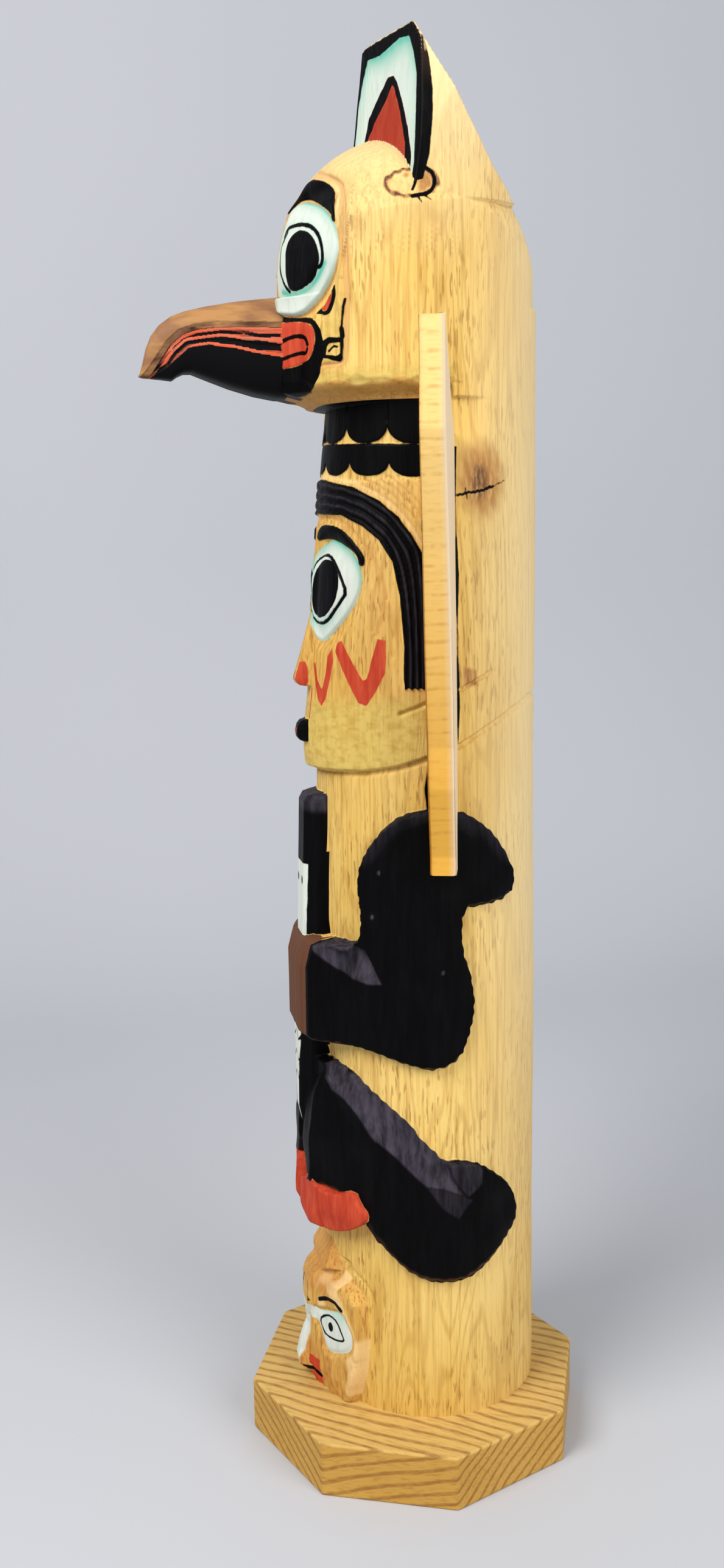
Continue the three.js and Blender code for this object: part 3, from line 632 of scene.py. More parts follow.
    aqua = np.where(low & (lid < 0.3), face_wash + 0.35 * np.exp(lid / 1.0), aqua)
    ear_wash = np.exp(np.clip(ear_leaf, -9, 0) / 2.0) * (0.25 + 0.5 * smooth(446, 460, z)) + 0.1
    aqua = np.where(is_ear & on_face, ear_wash + 0.45 * smooth(454, 463, z - 0.3 * np.abs(xs - 16)),
        aqua)
    aqua = np.where(on_small, 0.5 * smooth(46, 52, z), aqua)
    ruddy = smooth(38, 31, z) * smooth(20, 13, small_x) * (0.6 + 0.4 * np.sin(small_x * 2.3 + 0.2 * z))
    stain_and_shade = np.where(on_small & (small_eye > 0),
        0.3 + 0.5 * ruddy + 0.35 * smooth(52, 58, z) * smooth(18, 12, small_x), 0)
    on_cheek = low & ~on_small & (z > chin_z) & (deg < 93)
    stain_and_shade = np.where(on_cheek,
        (0.23 + 0.14 * np.sin(s * 2.6 + 0.4 * np.sin(z * 0.3))) * smooth(262, 270, z) * (z < 334),
        stain_and_shade)
    cuts_on_face = np.maximum(bell(line, 0.7), 0.8 * bell(gouge, 0.5))
    stain_and_shade = np.where(low & (z > 262), np.maximum(stain_and_shade, 0.6 * cuts_on_face), stain_and_shade)
    stain_and_shade = np.where(low & (z > 300), np.maximum(stain_and_shade, 0.6 * smooth(0.2, 0.95, hatch)), stain_and_shade)
    dashes = smooth(0.3, 0.0,
        flute) * (0.45 + 0.4 * np.sin(z * 0.31 + 5 * np.floor((hs * 1.9) / math.pi)))
    stain_and_shade = np.maximum(stain_and_shade, 0.8 * dashes * fluted * head_on)
    # Painted shade in the groove round the eye and along the edge groove of the face
    painted_groove_shade = np.maximum(bell(edge - 0.4, 0.9), bell(eye, 0.9)) * (z > JAW_Z + 6)
    stain_and_shade = np.where(head_on, np.maximum(stain_and_shade, 0.5 * painted_groove_shade), stain_and_shade)
    stain_and_shade = np.maximum(stain_and_shade,
        0.75 * smooth(420.5, 418, z) * smooth(414.5, 416.5, z) * (hs < 31) * head_on)
    # Painted shade: the underside of the jaw and its bevel darkened to brown
    jaw_low = z - 1.2 * bevel_wave
    painted_shade_under_jaw = smooth(JAW_Z + 4.4, JAW_Z + 3.8, jaw_low) * smooth(JAW_Z - 1.5, JAW_Z - 0.5,
        z) * (deg < 91)
    stain_and_shade = np.maximum(stain_and_shade, 0.62 * painted_shade_under_jaw)
    olive = on_cheek * smooth(267, 260, z - 0.05 * deg)
    # A darker olive tone on the jaw bevel, partly painted shade where the bevel faces down
    olive = np.maximum(olive, head_on * (deg < 91) * smooth(369.5, 365.5, z + 0.5 * bevel_wave) * 0.9)
    olive = np.maximum(olive,
        head_on * smooth(39, 41, hdeg) * smooth(1.0, -0.6, hs - 53.6 * HEAD_DEG) * smooth(392, 388, z)
        * 0.6)
    # Painted sheen: the black on the cut flats of thigh, forearm, shoulder, hip and knee turns grey as
    # if light glanced off it
    painted_light_and_nicks = np.maximum(smooth(0.3, -0.5, th_facet), smooth(0.3, -0.5, fa_facet))
    painted_light_and_nicks = np.maximum(painted_light_and_nicks, 0.45 * np.clip(1 - d_sh / 4.5, 0, 1) * (arm < 0))
    painted_light_and_nicks = np.maximum(painted_light_and_nicks, np.maximum(hip, knee) * (leg < 0))
    # Painted highlight: grey lines along the crests of the hair ribs
    painted_light_and_nicks = np.maximum(painted_light_and_nicks, 0.5 * smooth(0.86, 0.99, rib_wave) * (hair_in < -0.4) * low)
    # Painted shade: the ear's white and red are darkened, most inside the red vee
    painted_light_and_nicks = np.where(is_ear & on_face & (ear_black > 0.2), np.where(polygon(xs, z, vee) < 0, 0.45, 0.1),
        painted_light_and_nicks)
    nicks = join(*[np.hypot(s - a * DEG, (z - b) * 0.7) - 0.5 for a,
        b in ((55, 211), (51, 196), (84, 178), (60, 130))])
    painted_light_and_nicks = np.maximum(painted_light_and_nicks, smooth(0.2, -0.2, nicks))
    # Painted highlight: the top of the fish is grey
    painted_light_and_nicks = np.where(on_fish, 0.8 * smooth(226, 229, z), painted_light_and_nicks)
    umber = leg_low * smooth(-3.2, -2.5, leg) * smooth(-0.3, -0.8, leg)
    umber = np.maximum(umber, arm_low * smooth(-1.5, -1.0, arm) * smooth(-0.2, -0.5, arm) * (z < 160))
    umber = np.where(on_hand | on_foot | on_fish, 0, umber)
    umber = np.where(is_ear & ~on_face, 0.5 * smooth(446, 458, z), umber)
    knot_x, knot_z = (deg - 106.5) * DEG, z - 334.1
    knot = np.hypot(knot_x / 9.6, knot_z / 13) + 0.05 * np.sin(knot_z * 0.9 + knot_x)
    heart = np.hypot((knot_x + 0.8) / 3.4, (knot_z + 0.6) / 6.5)
    knot = np.where(above_chin, 0.45 * smooth(1.16, 0.5, knot) + 0.45 * smooth(1.2, 0.4, heart), 0)
    knot = np.maximum(knot,
        0.55 * smooth(0.4, -1.2, area([(95, 270), (95, 277), (103, 275.4), (104, 270)], 0)))
    ragged = 0.22 * np.sin(knot_x * 3.1) * np.sin(knot_x * 1.3 + 1)
    crack = join(stroke(knot_x, knot_z + ragged, [(-8.4, -4.9), (-5.6, -4.2), (-0.8, -3.6), (4, -2.1)],
        0.9), stroke(knot_x, knot_z + ragged, [(4.6, -1.9), (8.8, -0.3)], 0.35),
        stroke(knot_x, knot_z, [(-5.6, -2.6), (-5, -6)], 0.5))
    seam = only((z > 232) & (z < 344), np.abs(deg - 92.5) * DEG - 0.42 - 0.3 * np.sin(z * 0.17))
    bud_x, bud_z = (band_angle - 72.3) * DEG, z - 420.2
    bud = np.hypot(bud_x / 7.4, bud_z / 4.4) + 0.05 * np.sin(bud_x * 2.1 + bud_z)
    ember = smooth(1.4, 0.3, np.hypot(bud_x + 1.6, bud_z - 2.4))
    bud = np.where(above_chin,
        np.maximum(smooth(0.17, 0.05, np.abs(bud - 1)),
        0.5 * smooth(0.95, 0.7, bud) * smooth(1, 3, bud_x)), 0)
    drips = [stroke(bud_x, bud_z, softened(d), w) for d,
        w in (([(0.5, -4.4), (3.4, -3.9), (5.8, -3), (7.3, 0.2), (6.2, 2.8), (4, 4.1)], 1.2),
        ([(2, -4.6), (3, -6.2)], 0.6), ([(4, -4.2), (5.6, -5.4)], 0.6),
        ([(2.2, 3.6), (1.4, 0.2), (0.4, -2.4)], 0.9))]
    lines_on_log = join(crack, seam, *drips)
    black = np.where(above_chin & (deg < 150), join(black, lines_on_log), black)
    black = join(black, area(WING_GAP, 0))
    knots = np.maximum(knot, bud)
    stain_and_shade = np.maximum(stain_and_shade, 0.9 * ember * above_chin)
    rim_cut = stroke(small_x, z, softened([(10, 61), (16, 58), (21, 53), (25, 46), (26, 36), (24, 24)]),
        3.4)
    fresh = np.where(on_small,
        plain * np.maximum(smooth(0.74, 0.86, cuts) * smooth(44, 50, z),
        smooth(1.0, -0.4, rim_cut + 1.2 * (0.6 - cuts))), 0)
    fresh = np.maximum(fresh, bell(np.where(head_on, head_brow, 9) - 1.3, 0.7) * smooth(10, 20, hdeg))
    fresh = np.maximum(fresh, 0.8 * bell(edge + 0.1, 0.5) * head_on)
    fresh = np.maximum(fresh, 0.9 * bell(z + sag - 346.2, 0.45) * (deg < 92) * above_chin)
    fresh = np.maximum(fresh, 0.8 * bell(hair_in - 1.2, 0.8) * low * (z > 300) * (across < 0.5))
    marks = np.stack([black, white, red, brown, np.clip(aqua, 0, 1), np.clip(stain_and_shade, 0, 1), painted_light_and_nicks, umber,
        knots, fresh, np.clip(olive, 0, 1)])
    return r, yc, marks


# ---- building pieces ------------------------------------------------------------------------

def lofted(name, us, vs, place, fields=()):
    """A closed sleeve of rows and columns; place gives its points, fields name its paint values."""
    bm = bmesh.new()
    nu, nv = len(us) - 1, len(vs) - 1
    bmesh.ops.create_grid(bm, x_segments=nu, y_segments=nv, size=1.0)
    mesh = bpy.data.meshes.new(name)
    bm.to_mesh(mesh)
    bm.free()
    flat = np.empty(len(mesh.vertices) * 3)
    mesh.vertices.foreach_get("co", flat)
    flat = flat.reshape(-1, 3)
    i = np.rint((flat[:, 0] + 1) / 2 * nu).astype(int)
    j = np.rint((flat[:, 1] + 1) / 2 * nv).astype(int)
    points, values = place(np.asarray(us)[i], np.asarray(vs)[j])
    mesh.vertices.foreach_set("co", (points * MM).ravel())
    for key, value in zip(fields, values):
        layer = mesh.attributes.new(key, "FLOAT", "POINT")
        layer.data.foreach_set("value", value.astype(np.float32))
    bm = bmesh.new()
    bm.from_mesh(mesh)
    bmesh.ops.remove_doubles(bm, verts=[v for v in bm.verts if v.is_boundary], dist=1e-6)
    bmesh.ops.holes_fill(bm, edges=[e for e in bm.edges if e.is_boundary], sides=0)
    bmesh.ops.recalc_face_normals(bm, faces=bm.faces)
    for f in bm.faces:
        f.smooth = len(f.verts) < 5
        if not f.smooth:
            for e in f.edges:
                e.smooth = False
    bm.to_mesh(mesh)
    bm.free()
    return bpy.data.objects.new(name, mesh)


def show(piece, node, look):
    """Put a finished piece in the scene in place of its solid."""
    piece.data.materials.append(look)
    scene.collection.objects.link(piece)
    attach(piece, "root")
    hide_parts(node)
    return piece


def spread(stops):
    """Values from (start, end, step) runs, joined end to end."""
    runs = [np.linspace(a, b, max(int(round(abs(b - a) / step)), 1), endpoint=False) for a, b,
        step in stops]
    return np.append(np.concatenate(runs), stops[-1][1])


# ---- looks ----------------------------------------------------------------------------------

def add(tree, kind, props=None, **sockets):
    """One shader node, its sockets linked or set by name or by number."""
    n = tree.nodes.new("ShaderNode" + kind)
    for key, value in (props or {}).items():
        setattr(n, key, value)
    for key, value in sockets.items():
        at = n.inputs[int(key[1:])] if key[1:].isdigit() else n.inputs[key.replace("_", " ")]
        if isinstance(value, bpy.types.NodeSocket):
            tree.links.new(value, at)
        else:
            at.default_value = value
    return n


def blend(tree, factor, a, b, how="MIX"):
    return add(tree, "Mix", {"data_type": "RGBA", "blend_type": how}, i0=factor, i6=a, i7=b).outputs[2]


def between(tree, value, a, b, lo=0.0, hi=1.0):
    """A value spread from a..b on to lo..hi, and held there."""
    return add(tree, "MapRange", None, Value=value, From_Min=a, From_Max=b, To_Min=lo,
        To_Max=hi).outputs[0]


def total(tree, a, b, how="ADD"):
    return add(tree, "Math", {"operation": how}, i0=a, i1=b).outputs[0]


def noise(tree, coords, scale, detail=2.0, rough=0.5):
    return add(tree, "TexNoise", None, Vector=coords, Scale=scale, Detail=detail,
        Roughness=rough).outputs[0]


def stretched(tree, scale, turn=(0, 0, 0)):
    where = add(tree, "TexCoord").outputs["Object"]
    return add(tree, "Mapping", None, Vector=where, Rotation=turn, Scale=scale).outputs[0]


def grain(tree, scale, detail=2.0, rough=0.5):
    """Noise over the piece, finer along an axis that has a larger scale."""
    return noise(tree, stretched(tree, scale), 1.0, detail, rough)


def times(tree, a, b):
    return total(tree, a, b, "MULTIPLY")


def wavering(tree, source, amount):
    """A small swing either way, to make a painted edge look hand cut."""
    return times(tree, total(tree, source, -0.5), amount)


def attribute(tree, key):
    return add(tree, "Attribute", {"attribute_name": key}).outputs["Fac"]


def mapped(tree, coords, scale):
    return add(tree, "Mapping", None, Vector=coords, Scale=scale).outputs[0]


def bumped(tree, height, strength, reach=0.0003):
    return add(tree, "Bump", None, Strength=strength, Distance=reach, Height=height).outputs[0]


def new_look(name):
    look = bpy.data.materials.new(name)
    look.use_nodes = True
    look.node_tree.nodes.clear()
    return look, look.node_tree


def finish_look(tree, **sockets):
    shader = add(tree, "BsdfPrincipled", None, **sockets)
    out = tree.nodes.new("ShaderNodeOutputMaterial")
    tree.links.new(shader.outputs[0], out.inputs[0])


def cedar(tree, light, deep, line):
    """Yellow cedar with the grain up the log: colour, and a height for the bump."""
    swirl = grain(tree, (52, 52, 7), 1.5, 0.45)
    rings = total(tree, times(tree, swirl, 88.0), 0.0, "SINE")
    late = between(tree, rings, 0.4, 1.0)
    fine = grain(tree, (950, 950, 26), 2.0, 0.55)
    pore = noise(tree, stretched(tree, (1250, 1250, 170), (0.02, 0.01, 0)), 1.0, 1.0, 0.5)
    broad = grain(tree, (34, 34, 12), 3.0)
    patch = grain(tree, (70, 70, 30), 2.0)
    colour = blend(tree, between(tree, broad, 0.36, 0.64), light, deep)
    colour = blend(tree, between(tree, late, 0, 1, 0, 0.34), colour, line)
    colour = blend(tree, between(tree, fine, 0.47, 0.7, 0, 0.5), colour, line)
    some = times(tree, between(tree, pore, 0.57, 0.66), between(tree, patch, 0.38, 0.62, 0.1, 0.6))
    colour = blend(tree, some, colour, lin(146, 92, 34))
    height = total(tree, times(tree, late, 0.4), fine, "ADD")
    height = times(tree, total(tree, height, some, "ADD"), -1.0)
    return colour, height


def painted(tree, key, wobble):
    """Where a colour lies: inside its outline, with a hand-cut edge."""
    d = attribute(tree, key)
    return between(tree, total(tree, d, wobble), 0.14, -0.14)


def pole_look():
    look, tree = new_look("painted_cedar")
    colour, height = cedar(tree, lin(231, 196, 116), lin(219, 178, 90), lin(176, 128, 54))
    split = add(tree, "SeparateXYZ", None, Vector=stretched(tree, (1, 1, 1)))
    back, up = split.outputs[1], split.outputs[2]
    olive = attribute(tree, "olive")
    chips = grain(tree, (260, 260, 420), 2.0, 0.6)
    colour = blend(tree, times(tree, olive, 0.7), colour,
        blend(tree, between(tree, chips, 0.42, 0.66), lin(208, 182, 98), lin(184, 152, 70)))
    # Painted highlight: the wood turns paler towards the top of the log and along its back
    high = between(tree, up, 0.395, 0.455, 0, 0.8)
    behind = times(tree, between(tree, back, 0.008, 0.034, 0, 0.7),
        between(tree, up, 0.05, 0.2, 0.2, 1.0))
    colour = blend(tree, total(tree, high, behind, "MAXIMUM"), colour, lin(232, 209, 162))
    fresh = attribute(tree, "fresh")
    colour = blend(tree, times(tree, fresh, 0.8), colour, lin(246, 214, 150))
    # Stains on the wood, with painted shade under the jaw and in the grooves round the eye and along
    # the face edge
    stain_and_shade = attribute(tree, "stain_and_shade")
    colour = blend(tree, times(tree, stain_and_shade, 0.75), colour, lin(176, 98, 44))
    knot = attribute(tree, "knot")
    swirl = grain(tree, (620, 620, 150), 4.0, 0.65)
    heart = blend(tree, between(tree, knot, 0.5, 0.95), lin(172, 122, 68), lin(96, 64, 50))
    heart = blend(tree, between(tree, swirl, 0.34, 0.56), lin(200, 156, 96), heart)
    colour = blend(tree, between(tree, knot, 0.0, 0.5), colour, heart)
    rough_edge = grain(tree, (520, 520, 260), 3.0, 0.6)
    wobble = wavering(tree, rough_edge, 0.55)
    streak = grain(tree, (420, 420, 60), 3.0, 0.65)
    aqua = attribute(tree, "aqua")
    pale = blend(tree, aqua, lin(212, 217, 206), lin(92, 178, 156))
    pale = blend(tree, between(tree, streak, 0.45, 0.75, 0, 0.5), pale, lin(178, 186, 178))
    # Painted shade darkens the ear's white here; the same field greys the black paint further on as a
    # painted sheen
    painted_light_and_nicks = attribute(tree, "painted_light_and_nicks")
    pale = blend(tree, painted_light_and_nicks, pale, lin(128, 158, 146))
    white = painted(tree, "white", wobble)
    colour = blend(tree, white, colour, pale)
    red_paint = blend(tree, between(tree, streak, 0.4, 0.7), lin(178, 56, 34), lin(200, 80, 50))
    red_paint = blend(tree, painted_light_and_nicks, red_paint, lin(112, 34, 22))
    red = painted(tree, "red", wobble)
    colour = blend(tree, red, colour, red_paint)
    brown = painted(tree, "brown", wobble)
    colour = blend(tree, brown, colour, lin(98, 62, 42))
    black = painted(tree, "black", wobble)
    black_paint = blend(tree, between(tree, streak, 0.4, 0.75), lin(4, 4, 5), lin(9, 8, 10))
    # Painted sheen: the grey that black paint turns to on the cut flats, rib crests and fish top, and
    # at a few small nicks
    painted_sheen_grey = blend(tree, between(tree, streak, 0.35, 0.7), lin(34, 31, 37), lin(70, 64, 74))
    black_paint = blend(tree, painted_light_and_nicks, black_paint, painted_sheen_grey)
    umber = attribute(tree, "umber")
    black_paint = blend(tree, umber, black_paint, lin(58, 38, 30))
    colour = blend(tree, black, colour, black_paint)
    cover = total(tree, total(tree, total(tree, white, red, "MAXIMUM"), brown, "MAXIMUM"), black,
        "MAXIMUM")
    rough = between(tree, black, 0, 1, 0.62, 0.46)
    height = times(tree, height, between(tree, cover, 0, 1, 1.0, 0.45))
    bump = bumped(tree, height, 0.45)
    shine = between(tree, black, 0, 1, 0.12, 0.05)
    finish_look(tree, Base_Color=colour, Roughness=rough, Specular_IOR_Level=shine, Normal=bump)
    return look


def board_look():
    look, tree = new_look("fir_board")
    where = stretched(tree, (1, 1, 1))
    across = add(tree, "VectorMath", {"operation": "DOT_PRODUCT"}, i0=where,
        i1=(0.579, -0.406, 0.707)).outputs[1]
    along = add(tree, "VectorMath", {"operation": "DOT_PRODUCT"}, i0=where,
        i1=(0.579, -0.406, -0.707)).outputs[1]
    fibre = add(tree, "VectorMath", {"operation": "DOT_PRODUCT"}, i0=where,
        i1=(0.574, 0.819, 0.0)).outputs[1]
    place = add(tree, "CombineXYZ", None, X=across, Y=along, Z=fibre).outputs[0]
    waver = noise(tree, mapped(tree, place, (40, 34, 18)), 1.0, 2.0, 0.5)
    bent = total(tree, across, times(tree, waver, 0.007))
    bands = total(tree, times(tree, bent, 1950.0), 0.0, "SINE")
    late = between(tree, bands, 0.25, 0.95)
    ragged = noise(tree, mapped(tree, place, (1500, 500, 260)), 1.0, 2.0, 0.6)
    late = times(tree, late, between(tree, ragged, 0.3, 0.6, 0.45, 1.0))
    fleck = noise(tree, mapped(tree, place, (1400, 900, 150)), 1.0, 3.0, 0.6)
    broad = noise(tree, where, 26.0, 2.0)
    colour = blend(tree, between(tree, broad, 0.35, 0.7), lin(206, 162, 80), lin(192, 146, 66))
    # Painted highlight: the top face of the board is paler, as if lit from above
    height_up = add(tree, "SeparateXYZ", None, Vector=where).outputs[2]
    colour = blend(tree, between(tree, height_up, 0.0182, 0.0188, 0, 0.7), colour, lin(214, 180, 108))
    colour = blend(tree, between(tree, late, 0, 1, 0, 0.74), colour, lin(132, 82, 34))
    colour = blend(tree, between(tree, fleck, 0.5, 0.75, 0, 0.5), colour, lin(142, 90, 36))
    height = times(tree, total(tree, late, fleck), -1.0)
    bump = bumped(tree, height, 0.4)
    finish_look(tree, Base_Color=colour, Roughness=0.6, Specular_IOR_Level=0.2, Normal=bump)
    return look


def beak_look():
    look, tree = new_look("painted_beak")
    streak = grain(tree, (300, 90, 300), 3.0, 0.65)
    wobble = wavering(tree, streak, 0.5)
    worn = grain(tree, (90, 60, 260), 3.0, 0.6)
    colour = blend(tree, between(tree, worn, 0.42, 0.62), lin(140, 98, 66), lin(172, 126, 78))
    black = painted(tree, "black", wobble)
    colour = blend(tree, black, colour, lin(7, 7, 9))
    reds = blend(tree, between(tree, streak, 0.35, 0.7), lin(206, 84, 52), lin(196, 110, 84))
    colour = blend(tree, painted(tree, "red", wobble), colour, reds)
    bump = bumped(tree, streak, 0.25)
    finish_look(tree, Base_Color=colour, Roughness=0.5,
        Specular_IOR_Level=between(tree, black, 0, 1, 0.15, 0.07), Normal=bump)
    return look


def wing_look():
    look, tree = new_look("cedar_board")
    up = add(tree, "SeparateXYZ", None, Vector=stretched(tree, (1, 1, 1))).outputs[2]
    drift = grain(tree, (30, 30, 60), 2.0, 0.5)
    level = total(tree, up, times(tree, drift, 0.006))
    lines = total(tree, times(tree, level, 1350.0), 0.0, "SINE")
    fade = between(tree, grain(tree, (260, 260, 30), 2.0), 0.4, 0.62, 0.05, 0.5)
    fine = grain(tree, (180, 180, 1100), 3.0, 0.6)
    # Painted highlight: the wood turns paler towards the top of the wing
    colour = blend(tree, between(tree, up, 0.24, 0.37), lin(222, 166, 66), lin(240, 206, 132))
    colour = blend(tree, times(tree, between(tree, lines, 0.6, 1.0), fade), colour, lin(196, 132, 50))
    colour = blend(tree, between(tree, fine, 0.5, 0.75, 0, 0.35), colour, lin(200, 146, 70))
    # Painted highlight: the back face of the board is paler
    pale = attribute(tree, "pale")
    colour = blend(tree, pale, colour, lin(236, 212, 176))
    streak = grain(tree, (420, 420, 80), 3.0, 0.65)
    wobble = wavering(tree, streak, 0.5)
    colour = blend(tree, painted(tree, "white", wobble), colour, lin(212, 215, 202))
    colour = blend(tree, painted(tree, "red", wobble), colour, lin(182, 60, 38))
    black = painted(tree, "black", wobble)
    colour = blend(tree, black, colour, lin(10, 10, 12))
    bump = bumped(tree, fine, 0.15, 0.0002)
    finish_look(tree, Base_Color=colour, Roughness=between(tree, black, 0, 1, 0.6, 0.46),
        Specular_IOR_Level=0.15, Normal=bump)
    return look


# ---- base -----------------------------------------------------------------------------------

BASE_R, BASE_THICK, BASE_ARRIS = 60 * MM, 19 * MM, 0.7 * MM


def base():
    bm = bmesh.new()
    bmesh.ops.create_cone(bm, cap_ends=True, segments=8, radius1=BASE_R, radius2=BASE_R,
        depth=BASE_THICK, matrix=Matrix.Translation((0, 0, BASE_THICK / 2)))
    bmesh.ops.bevel(bm, geom=list(bm.edges), affect="EDGES", offset=BASE_ARRIS, segments=2, profile=0.5,
        material=-1)
    bmesh.ops.recalc_face_normals(bm, faces=bm.faces)
    mesh = bpy.data.meshes.new("base_board")
    bm.to_mesh(mesh)
    bm.free()
    return bpy.data.objects.new("base_board", mesh)


# ---- pole -----------------------------------------------------------------------------------

PAINT = ("black", "white", "red", "brown", "aqua", "stain_and_shade", "painted_light_and_nicks", "umber", "knot", "fresh", "olive")
ROUND = np.radians(spread([(-180, -128, 2.6), (-128, 128, 0.6), (128, 180, 2.6)]))


def log_part(low, high, above_chin):
    """A length of the log; a low or a high of None follows the chin line."""
    def points(th, v):
        chin = np.interp(np.abs(np.degrees(th)), *zip(*CHIN))
        start = chin - 0.6 if low is None else low
        end = chin + 1.4 if high is None else high
        z = start + v * (end - start)
        r, yc, marks = carve(th, z, above_chin)
        return np.stack([r * np.sin(th), yc - r * np.cos(th), z], axis=1), marks
    return points


# ---- beak -----------------------------------------------------------------------------------

BEAK_TOP = [(-40, 392.6), (-48.8, 391.8), (-56.2, 390.9), (-64.3, 389.5), (-71, 388), (-75.6, 386.4),
    (-79.7, 383.4), (-82.2, 380.2), (-83.8, 376.5), (-85, 371.9), (-86, 368.8), (-86.4, 368.2)]
BEAK_LOW = [(-40, 361), (-43.1, 361.1), (-49.7, 362.3), (-57.8, 364.6), (-65, 367.2), (-69.8, 369),
    (-72.3, 368.9), (-74.3, 368), (-76, 366.8), (-79.6, 367.2), (-85.3, 367.6), (-86.4, 368)]
BEAK_WIDE = [(-40, 12.3), (-41.5, 12.3), (-56, 10.4), (-70, 7.6), (-80, 4.6), (-84, 3.2), (-86, 1.8),
    (-86.4, 0.8)]
RIDGE_LINE = [(-38, 382.9), (-51.7, 383), (-61.2, 383.2), (-68.4, 382.5), (-73.2, 380.9),
    (-76.9, 377.8), (-80.2, 373.2), (-83.1, 369.2), (-88, 364.4)]
GAPE = [(-38, 371.2), (-42.9, 371.9), (-50.3, 373.1), (-57.5, 374.8), (-64.7, 375.8), (-70.2, 375.2),
    (-73.5, 372.5), (-76.8, 369.8), (-80, 367.9), (-88, 363)]


def beak_points(u, y):
    top, low, wide = table(y, BEAK_TOP), table(y, BEAK_LOW), table(y, BEAK_WIDE)
    c, s = np.cos(u), np.sin(u)
    cx = np.sign(c) * np.abs(c) ** 0.5
    cz = np.sign(s) * np.abs(s) ** np.where(s > 0, 0.85, 0.6)
    z = (top + low) / 2 + (top - low) / 2 * cz
    roof = np.interp(z, [382, 391], [1, 0.6])
    x = wide * cx * np.where(s > 0, roof, 1)
    above = polygon(y, z, RIDGE_LINE + [(-100, 364), (-100, 420), (-38, 420)], 30)
    below = polygon(y, z, GAPE + [(-88, 340), (-38, 340)], 30)
    share = above / np.maximum(above + below, 0.2)
    band = np.where((above > 0) & (below > 0), share, np.where(above <= 0, -1.0, 2.0))
    span = np.maximum(above + below, 0.6)
    reds = [(0.0, 0.24), (0.37, 0.52), (0.80, 0.97)]
    red = np.minimum.reduce([np.maximum(a - band, band - b) for a, b in reds]) * span
    groove = np.minimum(np.abs(band - 0.30), np.abs(band - 0.64)) * span
    x = x - np.sign(x) * (0.7 * np.exp(-(groove / 0.9) ** 2) + 0.3 * np.exp(-(above / 0.6) ** 2))
    black = np.where(band > 0, -np.minimum(above, 9), np.minimum(-above, 9))
    return np.stack([x, y, z], axis=1), np.stack([black, np.clip(red, -9, 9)])


# ---- wings ----------------------------------------------------------------------------------

# The board of a wing: its foot, the heights of its two long edges, its width and its slant
WING_FOOT, WING_INNER, WING_OUTER = 212, 135, 162.5
WING_SET, WING_WIDTH, WING_RISE = 5, 59, 27.5
WING_TURNS = [0, 1, 1.2, 2.0, 2.2, 3.2, 3.4, 4.2]    # round the board, one whole number a face
WING_OUT = [(212, 11.5), (218, 12), (241, 21), (254, 23), (279, 31.5), (312, 42), (337, 51.5),
    (345, 54), (374.5, 54)]


def wing_points(side, sweep):
    def points(u, v):
        z0 = WING_FOOT + v * WING_INNER
        z1 = WING_FOOT + v * WING_OUTER
        s1 = table(z1, WING_OUT)
        k = np.interp(u, WING_TURNS, [0, 1, 1, 1, 1, 0, 0, 0])
        depth = np.interp(u, WING_TURNS, [7, 7, 6.2, 0.8, 0, 0, 0.8, 6.2])
        depth = depth + (depth - 3.5) * 0.17 * smooth(1, 0.3, v)
        # Painted highlight on the plain back face of the board
        pale = smooth(1.9, 2.15, u) * smooth(3.5, 3.3, u)
        pull = np.interp(u, WING_TURNS, [0.9, 0.9, 0, 0, 0.9, 0.9, 0, 0])
        s = -WING_SET + k * (s1 + WING_SET) + np.where(k > 0.5, -pull * (k > 0.999), pull * (k < 0.001))
        z = z0 + k * (z1 - z0)
        line = 347 + (s + WING_SET) / WING_WIDTH * WING_RISE
        real = np.interp(s, [-5, 12, 50, 54], [347, 352.5, 374.5, 374.5])
        z = z + v ** 4 * (real - line)
        black, white, red = wing_paint(s, z, s1)
        on = u <= 1
        black, white, red = (np.where(on, f, 9.0) for f in (black, white, red))
        local = np.stack([side * s, -depth, z], axis=1)
        a = math.radians(-side * sweep)
        x = side * WING_X + local[:, 0] * math.cos(a) - local[:, 1] * math.sin(a)
        y = WING_Y + local[:, 0] * math.sin(a) + local[:, 1] * math.cos(a)
        return np.stack([x, y, z], axis=1), np.stack([black, white, red, pale])
    return points


def wing_paint(s, z, s1):
    """Traditional wing: an eye-shaped joint at the shoulder and long split feathers below it."""
    joint = polygon(s, z,
        rounded([(14, 322), (14, 340), (24, 350), (40, 354), (46, 344), (42, 330), (30, 320)]))
    inner = polygon(s, z,
        rounded([(20, 328), (20, 339), (28, 345), (38, 347), (41, 340), (37, 332), (29, 326)]))
    core = polygon(s, z, rounded([(25, 332), (25, 338), (31, 341), (36, 341), (37, 336), (31, 331)]))
    black = np.minimum(np.maximum(joint, -inner), core)
    red = np.full(s.shape, 9.0)
    share = s / np.maximum(s1, 1)
    for k in range(3):
        mid = (k + 0.5) / 3
        across = np.abs(share - mid) * s1
        half = s1 / 6 - 0.8
        end = 226 + 11 * k
        tip = np.hypot(across, np.minimum(z - end - half, 0)) - half
        tall = np.maximum(tip, z - 318)
        line = np.abs(tall + 1.0) - 1.0
        black = np.minimum(black, line)
        inside = np.maximum(np.hypot(across, np.minimum(z - end - half - 3, 0)) - half * 0.42,
            z - (300 - 6 * k))
        red = np.minimum(red, inside)
    black = np.minimum(black, np.maximum(np.abs(z - 319.5) - 1.6, -s - 2))
    return black, inner, red


# ---- assembly -------------------------------------------------------------------------------

